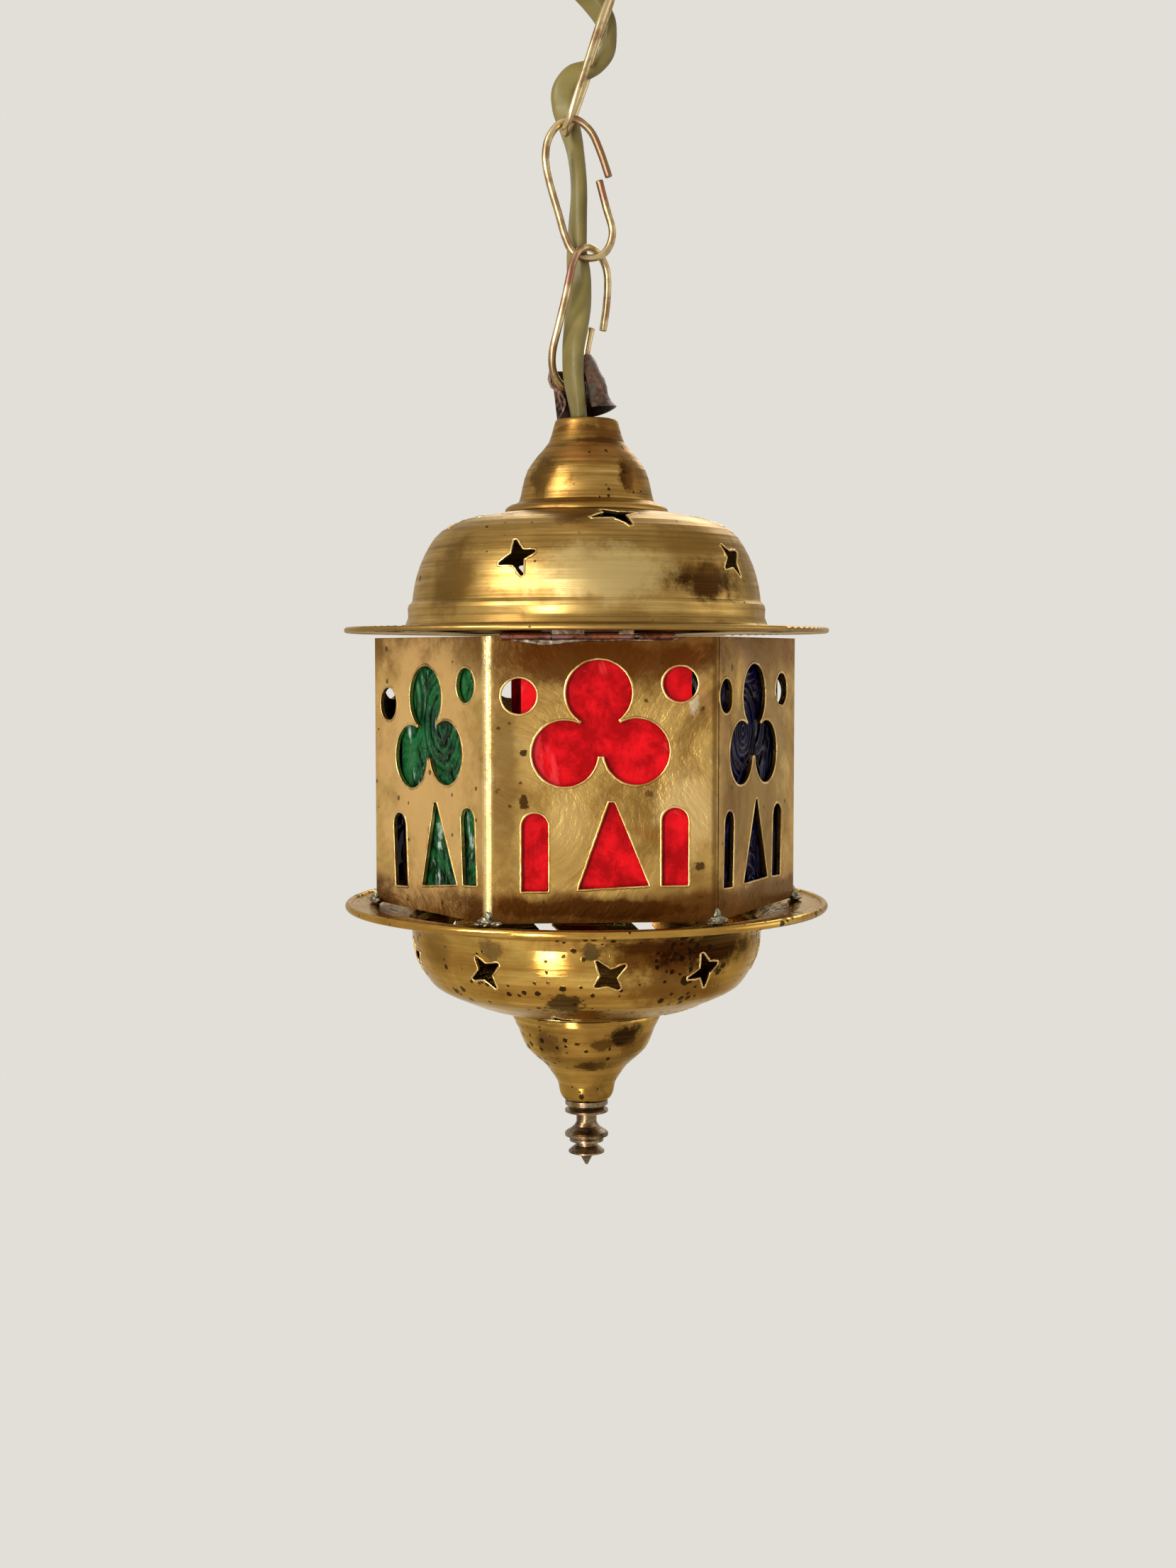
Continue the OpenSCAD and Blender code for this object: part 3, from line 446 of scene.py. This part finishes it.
PANEL_PATCHES = (
    # painted light: the left panels lighter, as lit from the left
    ((-42, -24, -36), -60, 24, 36, 0.9, 90.0, (236, 190, 122), 0.8),
    # painted shade: the right panels darker
    ((42, -24, -36), 60, 24, 36, 0.9, 90.0, (106, 76, 40), 0.62),
    ((0, -49, -8), 0, 27, 5.5, 0.8, 90.0, (84, 38, 6), 0.85),
    ((-24, -49, -36), 0, 4, 28, 0.9, 90.0, (112, 80, 36), 0.65),
    ((21, -49, -46), 0, 7, 10, 0.9, 90.0, (232, 198, 132), 0.55),
    ((-9, -49, -47), 0, 5, 7, 0.9, 90.0, (214, 180, 112), 0.5),
    ((0, -49, -68.5), 0, 27, 2.2, 0.5, 120.0, (70, 34, 6), 0.8),
    # painted highlight along the front left fold
    ((-28.3, -49, -36), -30, 1.3, 90, 0.9, 90.0, (240, 212, 146), 0.6),
    # painted shade along the front right fold
    ((28.3, -49, -36), 30, 1.1, 90, 0.9, 90.0, (84, 54, 24), 0.6),
    ((22.5, -49, -18), 0, 1.3, 2.8, 0.5, 900.0, (222, 212, 190), 0.45),
    ((-19, -49, -42.4), 0, 1.0, 1.8, 0.3, 900.0, (60, 34, 14), 0.9),
    ((-19.2, -49, -30.3), 0, 0.9, 0.9, 0.3, 700.0, (44, 28, 14), 0.9),
    ((11.6, -49, -40.3), 0, 1.1, 0.9, 0.3, 900.0, (92, 58, 24), 0.8),
    ((24.1, -49, -58.3), 0, 1.2, 1.0, 0.3, 900.0, (66, 42, 20), 0.9))


# Materials

EDGE = rgb(240, 230, 212)        # tint of brass at a glancing angle
WARM_EDGE = rgb(236, 222, 196)   # the same on the shinier bowl and bell
SPOT_BROWN = rgb(30, 16, 8)


def spun_brass(name, sign, tones, edge, patches, spots, rough, streak):
    """Spun sheet: streaks run round the axis. sign is +1 where the outline widens downward.
    tones are light, middle, dark and stain; spots are their size and the share of the noise's
    cells that have one."""
    light, middle, dark, stain = (rgb(*t) for t in tones)
    spot_size, spot_share = spots
    g = Graph(name, metal=1.0)
    x, y, z = g.xyz()
    radius = g.math("SQRT", g.math("ADD", g.math("MULTIPLY", x, x), g.math("MULTIPLY", y, y)))
    outline = g.math("SUBTRACT", z, g.math("MULTIPLY", radius, sign))

    def along_turns(around, across):
        return g.node("ShaderNodeCombineXYZ", {
            0: g.math("MULTIPLY", x, around), 1: g.math("MULTIPLY", y, around),
            2: g.math("MULTIPLY", outline, across)}).outputs[0]

    fine = g.noise(1.0, 5.0, 0.75, along_turns(9.0, 520.0))
    broad = g.noise(1.0, 4.0, 0.6, along_turns(26.0, 130.0))
    cloud = g.noise(30.0, 6.0, 0.62, warp=0.6)
    tone = g.total((fine, 0.5 * streak), (broad, 0.3), (cloud, 0.7 - 0.5 * streak))
    colour = g.mix(g.span(tone, 0.36, 0.56), dark, middle)
    colour = g.mix(g.span(tone, 0.5, 0.68), colour, light)
    worn = g.span(g.noise(38.0, 7.0, 0.66, warp=1.0), 0.54, 0.7)
    colour = g.tinted(colour, worn, 0.62, stain)
    # patches of stain, and of painted shade, reflections and highlights (see the tables)
    colour = g.stains_and_painted_light(colour, patches, cover=g.span(fine, 0.34, 0.6, 0.86, 1.0))
    crowd = g.span(g.noise(32.0, 3.0, 0.6), 0.4, 0.58, 0.25, 1.0)
    small = g.spots(440.0, g.math("MULTIPLY", crowd, spot_size), spot_share)
    large = g.spots(230.0, g.math("MULTIPLY", crowd, spot_size * 0.85), spot_share * 0.6)
    marks = g.math("MAXIMUM", small, large)
    colour = g.tinted(colour, marks, 0.92, SPOT_BROWN)
    dull = g.math("MULTIPLY", g.math("MAXIMUM", marks, worn), 0.16)
    normal = g.bump(marks, 0.12 * MM, 0.6)
    normal = g.bump(g.noise(55.0, 3.0), 0.6 * MM, 0.35, normal)
    g.set(Base_Color=colour, Anisotropic=0.35, Specular_Tint=edge,
          Roughness=g.math("ADD", g.span(tone, 0.3, 0.7, rough + 0.12, rough - 0.05), dull),
          Normal=g.bump(fine, 0.16 * MM, 0.5, normal),
          Tangent=g.node("ShaderNodeTangent", direction_type="RADIAL", axis="Z").outputs[0])
    return g.material


def panel_brass():
    """Flat sheet with clouds, swirls and a pink cast, darkened along its top and bottom."""
    g = Graph("panel_brass", metal=1.0)
    z = g.xyz()[2]
    cloud = g.noise(26.0, 8.0, 0.62, warp=1.0)
    fine = g.noise(170.0, 6.0, 0.68)
    tone = g.total((cloud, 0.78), (fine, 0.22))
    colour = g.mix(g.span(tone, 0.38, 0.52), rgb(140, 106, 52), rgb(190, 152, 84))
    colour = g.mix(g.span(tone, 0.5, 0.64), colour, rgb(222, 188, 116))
    swirl = g.span(g.noise(15.0, 6.0, 0.58, g.scaled(1.0, 1.0, 1.7), warp=2.2), 0.49, 0.66)
    colour = g.tinted(colour, swirl, 0.6, rgb(142, 92, 38))
    pink = g.span(g.noise(21.0, 4.0, 0.5, g.scaled(1.3, 1.3, 1.0), warp=1.2), 0.56, 0.7)
    colour = g.tinted(colour, pink, 0.45, rgb(206, 144, 104))
    shift = g.math("MULTIPLY", g.math("SUBTRACT", g.noise(60.0, 5.0, 0.62), 0.5), 11 * MM)
    height = g.math("ADD", z, shift)
    low = g.span(height, FLANGE_Z - 63.5 * MM, FLANGE_Z - 66.5 * MM)
    high = g.span(height, FLANGE_Z - 15.5 * MM, FLANGE_Z - 3.5 * MM)
    colour = g.tinted(colour, low, 0.85, rgb(88, 48, 14))
    colour = g.tinted(colour, high, 0.7, rgb(100, 50, 12))
    # patches of stain, and painted light and shade on the side panels and folds
    colour = g.stains_and_painted_light(colour, PANEL_PATCHES)
    marks = g.math("MAXIMUM", g.spots(120.0, 0.2, 0.22, 0.4), g.spots(360.0, 0.26, 0.1))
    colour = g.tinted(colour, marks, 0.8, rgb(66, 40, 18))
    g.set(Base_Color=colour, Specular_Tint=EDGE, Roughness=g.span(tone, 0.35, 0.65, 0.36, 0.24),
          Normal=g.bump(fine, 0.03 * MM, 0.5, g.bump(cloud, 2.8 * MM, 0.5)))
    return g.material


def plain_metal(name, light, dark, rough, scale=120.0, metal=1.0, depth=0.1, tint=None,
                share=0.0):
    """Metal of two tones, with a share of a third in patches; depth is its bumps', in mm."""
    g = Graph(name, metal)
    broad, fine = g.noise(scale, 6.0, 0.65, warp=0.4), g.noise(scale * 6, 4.0, 0.6)
    tone = g.total((broad, 0.7), (fine, 0.3))
    colour = g.mix(g.span(tone, 0.38, 0.62), rgb(*dark), rgb(*light))
    if tint:
        where = g.span(g.noise(scale * 1.3, 5.0, warp=0.6), 0.5, 0.64)
        colour = g.tinted(colour, where, share, rgb(*tint))
    g.set(Base_Color=colour, Roughness=g.span(tone, 0.35, 0.65, rough + 0.15, rough),
          Normal=g.bump(tone, depth * MM, 0.6))
    return g.material


def wire_metal():
    """Worn brass plate on a wire."""
    g = Graph("chain_wire", metal=1.0)
    worn = g.noise(110.0, 6.0, 0.6, warp=0.5)
    colour = g.mix(g.span(worn, 0.4, 0.6), rgb(132, 104, 76), rgb(196, 174, 130))
    colour = g.mix(g.span(g.noise(70.0, 3.0, 0.5), 0.55, 0.68, 0.0, 0.6), colour,
                   rgb(142, 92, 80))
    g.set(Base_Color=colour, Specular_Tint=EDGE, Roughness=g.span(worn, 0.35, 0.65, 0.36, 0.26),
          Normal=g.bump(g.noise(200.0, 3.0, 0.6), 0.02 * MM, 0.4))
    return g.material


def plastic(name, light, dark, rough, drawn=False, shine=0.5):
    """Moulded plastic, or one drawn along the length that its UV map holds."""
    g = Graph(name)
    if drawn:
        g.place = g.node("ShaderNodeUVMap", uv_map="UVMap").outputs[0]
        tone = g.noise(1.0, 4.0, 0.5, g.scaled(60.0, 1.5, 1.0))
        fine = g.noise(1.0, 3.0, 0.6, g.scaled(900.0, 14.0, 1.0))
    else:
        tone, fine = g.noise(90.0, 5.0, 0.6), g.noise(810.0, 3.0, 0.6)
    g.set(Base_Color=g.mix(g.span(tone, 0.3, 0.7), rgb(*dark), rgb(*light)),
          Specular_IOR_Level=shine, Roughness=g.span(fine, 0.3, 0.7, rough - 0.06, rough + 0.08),
          Normal=g.bump(fine, 0.04 * MM, 0.5))
    return g.material


def glass(name, tones, clear, rough, wave, ridges=0.0):
    """Coloured glass that scatters part of the light and lets a share, clear, through. tones are
    deep, bright, and a third for specks, which on the green glass are painted white glints; wave
    and ridges, those of the pressed fans, are depths in mm."""
    deep, bright, fleck_and_glint = (rgb(*t) for t in tones)
    g = Graph(name)
    mottle = g.noise(120.0, 7.0, 0.7, warp=0.3)
    swirl = g.noise(70.0, 4.0, 0.55, g.scaled(1.0, 1.0, 0.55), warp=2.2)
    colour = g.mix(g.span(mottle, 0.38, 0.62), deep, bright)
    # lighter specks along the swirls; on the green glass these are painted white glints
    colour = g.tinted(colour, g.span(swirl, 0.6, 0.68), 0.8, fleck_and_glint)
    normal = g.bump(swirl, wave * MM, 0.9, g.bump(mottle, 0.3 * MM, 0.5))
    if ridges:
        cell = g.node("ShaderNodeTexVoronoi", {
            "Vector": g.scaled(1.0, 1.0, 0.8), "Scale": 62.0,
            "Randomness": 0.7}).outputs["Distance"]
        fans = g.math("SINE", g.total((cell, 34.0), (swirl, 5.0)))
        normal = g.bump(fans, ridges * MM, 0.9, normal)
        colour = g.mix(g.span(fans, 0.2, 1.0, 0.0, 0.3), colour, bright)
    g.set(Base_Color=colour, Transmission_Weight=clear, IOR=1.3, Specular_IOR_Level=0.15,
          Roughness=g.span(mottle, 0.3, 0.7, rough, rough + 0.12), Normal=normal)
    return g.material


BRASS_DOME = spun_brass(
    "dome_brass", 1, ((206, 172, 104), (162, 128, 68), (106, 78, 36), (104, 70, 28)), EDGE,
    DOME_PATCHES, (0.26, 0.12), rough=0.29, streak=1.0)
BRASS_NECK = spun_brass(
    "neck_brass", 1, ((208, 172, 100), (154, 116, 56), (88, 60, 26), (104, 68, 28)), EDGE,
    NECK_PATCHES, (0.26, 0.14), rough=0.29, streak=1.0)
BRASS_BOWL = spun_brass(
    "bowl_brass", -1, ((222, 184, 100), (176, 134, 62), (128, 86, 32), (104, 60, 18)),
    WARM_EDGE, BOWL_PATCHES, (0.5, 0.55), rough=0.13, streak=0.5)
BRASS_BELL = spun_brass(
    "bell_brass", -1, ((222, 188, 108), (166, 126, 58), (112, 76, 30), (94, 58, 20)),
    WARM_EDGE, BELL_PATCHES, (0.5, 0.6), rough=0.12, streak=0.5)
PANEL = panel_brass()
LIP = plain_metal("cut_edge_brass", (222, 190, 124), (176, 138, 74), 0.26, scale=110.0,
                  tint=(140, 96, 46), share=0.7)
CLIP = plain_metal("clip_brass", (120, 92, 48), (58, 40, 22), 0.4)
CHAIN_WIRE = wire_metal()
TORN = plain_metal("torn_brass", (116, 86, 68), (50, 32, 28), 0.42, scale=150.0, metal=0.8,
                   depth=0.4, tint=(82, 90, 84), share=0.5)
BRONZE = plain_metal("finial_bronze", (156, 132, 98), (72, 54, 36), 0.24, scale=190.0,
                     tint=(116, 112, 98), share=0.5)
COPPER = plain_metal("hinge_tube_brass", (150, 92, 68), (72, 42, 34), 0.34, scale=200.0,
                     tint=(150, 120, 130), share=0.4)
SOLDER = plain_metal("solder", (158, 150, 128), (74, 64, 48), 0.3, scale=220.0, metal=0.9,
                     depth=0.5, tint=(104, 124, 98), share=0.5)
HINGE_SOLDER = plain_metal("hinge_solder", (192, 176, 152), (74, 50, 38), 0.24, scale=160.0,
                           metal=0.95, depth=0.4, tint=(112, 78, 62), share=0.6)
ZINC = plain_metal("zinc", (186, 186, 180), (132, 132, 128), 0.34)
STEEL = plain_metal("pin_steel", (130, 122, 108), (76, 66, 56), 0.36, scale=260.0)
PVC = plastic("flex_pvc", (124, 110, 60), (94, 82, 40), 0.4, drawn=True, shine=0.25)
RUBBER = plastic("rubber", (52, 50, 48), (34, 33, 32), 0.6)
BLOCK = plastic("block_plastic", (232, 228, 214), (214, 208, 192), 0.45)
HOLDER = plastic("holder_plastic", (226, 218, 194), (204, 194, 166), 0.3)
RED = glass("glass_red", ((158, 0, 6), (218, 12, 22), (228, 50, 56)), clear=0.2, rough=0.25,
            wave=0.4)
BLUE = glass("glass_blue", ((1, 2, 24), (6, 8, 74), (14, 20, 90)), clear=0.4, rough=0.08,
             wave=1.0, ridges=0.9)
# its third tone paints white glints, a painted highlight
GREEN = glass("glass_green", ((2, 26, 12), (24, 108, 54), (210, 228, 210)), clear=0.5,
              rough=0.05, wave=2.6, ridges=0.5)

FINISH = (
    (ZINC, ("ceiling_bracket", "hook_nut", "lamp_nipple", "lock_nut", "thread_shell",
            "bell_stud", "bell_nut")),
    (CHAIN_WIRE, ("canopy_nut", "ceiling_hook", "hanger_eye", "lamp_contact")),
    (CLIP, ("neck_bridge", "lampholder_cap", "catch_tab", "pane_clips")),
    (BRASS_DOME, ("ceiling_canopy", "top_dome")), (BRASS_NECK, ("neck_bell",)),
    (BRASS_BOWL, ("bottom_bowl",)), (BRASS_BELL, ("bottom_bell",)), (PANEL, ("hex_body",)),
    (TORN, ("torn_cap",)), (BRONZE, ("finial",)), (STEEL, ("hinge_pin",)),
    (COPPER, ("hinge_tube_lid", "hinge_tubes_body")), (SOLDER, ("eye_solder", "corner_solder")),
    (HINGE_SOLDER, ("hinge_solder_lid", "hinge_solder_body")), (RUBBER, ("flex_grommet",)),
    (BLOCK, ("terminal_block",)), (HOLDER, ("lampholder_body",)), (RED, ("pane_1", "pane_4")),
    (BLUE, ("pane_2", "pane_5")), (GREEN, ("pane_3", "pane_6")))

make_links(CHAIN_WIRE)
make_flex(PVC)
for finish, names in FINISH:
    for node_name in names:
        nodes[node_name].data.materials.clear()
        nodes[node_name].data.materials.append(finish)


# Bright lips round the cut-outs, on the edges that the CAD sheets have there

SHARP = math.radians(48)    # least turn of the sheet at a cut-out's edge
WELD = 2e-6                 # the CAD meshes' seams are closed to this
LIP_STEP = 0.5 * MM
# Outlines of the bead, in mm away from the cut-out and out of the sheet
PANEL_LIP = ((-0.08, -0.25), (-0.1, -0.02), (-0.02, 0.09), (0.14, 0.14), (0.36, 0.09),
             (0.55, -0.02), (0.4, -0.2))
STAR_LIP = ((-0.1, -0.25), (-0.14, 0.0), (-0.04, 0.12), (0.1, 0.18), (0.3, 0.12),
            (0.5, -0.03), (0.34, -0.22))


def outer_edges(bm, centre):
    """The sharp edges on the outer face of a sheet: which vertices each one joins, and the sum
    of the outer face's normals there."""
    links, normals = {}, {}
    for edge in bm.edges:
        if len(edge.link_faces) != 2 or edge.calc_face_angle(0) < SHARP:
            continue
        middle = (edge.verts[0].co + edge.verts[1].co) / 2 - centre
        outer = max(edge.link_faces, key=lambda f: f.normal.dot(middle))
        if outer.normal.dot(middle) < 0.5 * middle.length:
            continue
        for a, b in ((edge.verts[0], edge.verts[1]), (edge.verts[1], edge.verts[0])):
            links.setdefault(a.index, []).append(b.index)
            normals[a.index] = normals.get(a.index, Vector()) + outer.normal
    return links, normals


def edge_loops(node, centre, longest):
    """Closed loops of the sheet's outer edges, up to a size, as points and outward normals."""
    bm = bmesh.new()
    bm.from_mesh(nodes[node].data)
    bmesh.ops.remove_doubles(bm, verts=bm.verts, dist=WELD)
    links, normals = outer_edges(bm, centre)
    bm.verts.ensure_lookup_table()
    loops, seen = [], set()
    for first in sorted(links):
        if first in seen:
            continue
        chain, at, before = [], first, None
        while at not in seen:
            seen.add(at)
            chain.append(at)
            onward = [v for v in links[at] if v != before and v not in seen]
            if not onward:
                break
            before, at = at, onward[0]
        points = [bm.verts[i].co.copy() for i in chain]
        spread = max((p - points[0]).length for p in points)
        if len(chain) > 2 and chain[0] in links[chain[-1]] and spread < longest:
            loops.append((points, [normals[i].normalized() for i in chain]))
    bm.free()
    return loops


def lip(bm, points, normals, profile, wobble):
    """Closed bead along a loop. wobble is how uneven it is."""
    line, faces_out = [], []
    for i, p in enumerate(points):
        q = points[(i + 1) % len(points)]
        n, m = normals[i], normals[(i + 1) % len(points)]
        parts = max(1, round((q - p).length / LIP_STEP))
        for k in range(parts):
            line.append(p.lerp(q, k / parts))
            faces_out.append(n.lerp(m, k / parts).normalized())
    middle = sum(line, Vector()) / len(line)
    count, size = len(line), len(profile)
    rings = []
    for i, p in enumerate(line):
        tangent = (line[(i + 1) % count] - line[i - 1]).normalized()
        out = faces_out[i]
        away = out.cross(tangent).normalized()
        if sum((line[(i + k) % count] - middle).dot(away) for k in (-2, 0, 2)) < 0:
            away = -away
        shake = noise.noise(p * 900) * wobble
        rings.append([bm.verts.new(p + away * (a * (1 + shake) + shake * 0.25) * MM
                                   + out * h * (1 + shake * 1.5) * MM) for a, h in profile])
    for i in range(count):
        a, b = rings[i], rings[(i + 1) % count]
        for j in range(size):
            k = (j + 1) % size
            bm.faces.new((a[j], a[k], b[k], b[j])).smooth = True


def make_lips(name, node, up, longest, profile, wobble, body):
    """Lips on one sheet, whose middle is up mm over the flange."""
    bm = bmesh.new()
    found = edge_loops(node, Vector((0, 0, up)) * MM + Vector((0, 0, FLANGE_Z)), longest * MM)
    for points, normals in found:
        lip(bm, points, normals, profile, wobble)
    bmesh.ops.recalc_face_normals(bm, faces=bm.faces)
    piece = add_mesh(name, bm, LIP)
    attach(piece, body)
    print(name, "round", len(found), "cut-outs")


make_lips("panel_lips", "hex_body", -36, 30, PANEL_LIP, 0.25, "cage")
make_lips("dome_lips", "top_dome", 0, 20, STAR_LIP, 0.55, "lid")
make_lips("bowl_lips", "bottom_bowl", -70, 20, STAR_LIP, 0.55, "cage")


# Solder: lumps at the cage's lower corners, in place of the CAD's plain ones

# Place out, to the side and up from a corner, and half sizes, in mm
CORNER_LUMPS = (((0.2, 0.0, 0.3), (1.5, 1.9, 1.3)), ((-0.3, 2.2, 0.1), (1.1, 1.7, 0.8)),
                ((0.6, -1.5, -0.1), (1.4, 1.5, 0.5)), ((-0.1, 0.5, 1.7), (0.8, 0.9, 1.4)))


def lump(bm, at, size, seed, turn):
    """A ball of the given half sizes, turned about Z, with two sizes of noise on it."""
    made = bmesh.ops.create_icosphere(bm, subdivisions=4, radius=1.0)["verts"]
    about = Matrix.Rotation(turn, 3, "Z")
    for v in made:
        p = v.co.copy()
        swell = (1 + 0.34 * noise.noise(p * 1.3 + Vector((seed, 0, 0)))
                 + 0.12 * noise.noise(p * 4 + Vector((0, seed, 0))))
        v.co = at + about @ Vector((p.x * size[0], p.y * size[1], p.z * size[2])) * swell
    for face in {f for v in made for f in v.link_faces}:
        face.smooth = True


def make_solder():
    cage_low, cage_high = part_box("hex_body")
    corner = (cage_high.x - cage_low.x) / 2 / MM
    bm = bmesh.new()
    for k in range(6):
        turn = math.radians(60 * k)
        for j, ((out, side, up), size) in enumerate(CORNER_LUMPS):
            at = Vector(((corner + out) * math.cos(turn) - side * math.sin(turn),
                         (corner + out) * math.sin(turn) + side * math.cos(turn), up)) * MM
            lump(bm, at + Vector((0, 0, cage_low.z)), [v * MM for v in size], 7.3 * k + j, turn)
    piece = add_mesh("corner_lumps", bm, SOLDER)
    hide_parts("corner_solder")
    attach(piece, "cage")


# The strip of solder that hangs from the hinge over the front panel's top edge. Its lower edge
# is x and height over the flange, in mm

BEAD_EDGE = ((-24.4, -2.3), (-23.2, -2.8), (-21.4, -3.3), (-18.8, -3.7), (-16.4, -4.0),
             (-14.0, -4.4), (-11.2, -4.1), (-8.7, -3.7), (-4.2, -3.3), (0.4, -3.4), (5.0, -3.1),
             (9.3, -3.3), (14.0, -3.0), (18.0, -2.8), (20.6, -2.35))
BEAD_TOP = -2.3
BEAD_ROWS = 8
PIN_UP = -1.9       # the hinge's axis over the flange
TUBE_ROOM = 1.1     # radius that the hinge's tubes need


def make_bead():
    front = -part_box("hex_body")[1].y / MM
    bm = bmesh.new()
    rings = []
    for p in curve([(x, 0, z) for x, z in BEAD_EDGE], 6):
        points = []
        for k in range(BEAD_ROWS + 1):
            u = k / BEAD_ROWS
            up = BEAD_TOP + (p.z - BEAD_TOP) * u
            shake = noise.noise(Vector((p.x * 0.55, up * 0.9, 3.0)))
            rounded = math.sqrt(max(0.0, 1 - u * u)) * min(1.0, u * 3 + 0.3)
            thick = 0.06 + (0.5 + 0.35 * shake) * rounded
            room = TUBE_ROOM - math.sqrt(max(0.0, TUBE_ROOM ** 2 - (up - PIN_UP) ** 2))
            points.append(Vector((p.x, front - max(0.03, min(thick, room)), up)))
        points += [Vector((p.x, front + 0.2, points[-1].z)), Vector((p.x, front + 0.2, BEAD_TOP))]
        rings.append([bm.verts.new(q * MM + Vector((0, 0, FLANGE_Z))) for q in points])
    size = len(rings[0])
    for a, b in zip(rings, rings[1:]):
        for j in range(size):
            k = (j + 1) % size
            bm.faces.new((a[j], a[k], b[k], b[j])).smooth = j < BEAD_ROWS
    bm.faces.new(rings[0])
    bm.faces.new(rings[-1])
    bmesh.ops.recalc_face_normals(bm, faces=bm.faces)
    bead = add_mesh("hinge_bead", bm, HINGE_SOLDER)
    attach(bead, "cage")


make_solder()
make_bead()


# Stage: a floor that fades into the world, and soft lights

BACKDROP = rgb(226, 223, 216)
AMBIENT, AMBIENT_STRENGTH = (1, 0.99, 0.97, 1), 0.55
FLOOR_Z, FLOOR_R = -1.2, 4.0
FADE = (0.35, 1.5)             # how far from the axis the floor starts to fade, and is gone
AIM = Vector((0, 0, -0.24))    # what the lamps point at
# Name, azimuth, elevation, distance from AIM, width and height, power in watts
LAMPS = (("key", -56, 24, 1.3, (0.4, 0.7), 11.0), ("window", -28, -7, 1.3, (0.22, 1.3), 15.0),
         ("fill", 85, 10, 1.6, (1.0, 1.0), 3.0), ("top", -60, 68, 1.4, (0.8, 0.8), 1.5),
         ("back", 165, 30, 1.5, (0.9, 0.6), 5.0))


def make_floor():
    g = Graph("floor")
    g.set(Base_Color=BACKDROP, Roughness=0.9)
    far = g.node("ShaderNodeVectorMath", {0: g.scaled(1.0, 1.0, 0.0)},
                 operation="LENGTH").outputs["Value"]
    fade = g.node("ShaderNodeMixShader", {
        0: g.span(far, *FADE), 1: g.bsdf.outputs[0],
        2: g.node("ShaderNodeBsdfTransparent").outputs[0]}).outputs[0]
    g.put(g.tree.nodes["Material Output"].inputs[0], fade)
    bm = bmesh.new()
    bmesh.ops.create_circle(bm, cap_ends=True, segments=96, radius=FLOOR_R)
    floor = add_mesh("floor", bm, g.material)
    floor.location = (0, 0, FLOOR_Z)


def make_world():
    """The backdrop's colour where it is seen, straight or in metal and glass, and a dimmer
    light on the object."""
    world = bpy.data.worlds.new("world")
    bpy.context.scene.world = world
    world.use_nodes = True
    w = Nodes(world.node_tree)
    w.tree.nodes.clear()
    ray = w.node("ShaderNodeLightPath").outputs
    seen = w.math("MAXIMUM", w.math("MAXIMUM", ray["Is Camera Ray"], ray["Is Glossy Ray"]),
                  ray["Is Transmission Ray"])
    light = w.node("ShaderNodeBackground", {0: AMBIENT, 1: AMBIENT_STRENGTH}).outputs[0]
    back = w.node("ShaderNodeBackground", {0: BACKDROP, 1: 1.0}).outputs[0]
    mixed = w.node("ShaderNodeMixShader", {0: seen, 1: light, 2: back}).outputs[0]
    w.node("ShaderNodeOutputWorld", {0: mixed})


def make_lamps():
    for name, azimuth, elevation, distance, size, power in LAMPS:
        lamp = bpy.data.lights.new(name, "AREA")
        lamp.shape, lamp.size, lamp.size_y, lamp.energy = "RECTANGLE", *size, power
        away = bearing(azimuth, elevation)
        add_aimed(name, lamp, AIM + away * distance, -away).visible_camera = False


make_floor()
make_world()
make_lamps()
bpy.context.scene.view_settings.view_transform = "Standard"
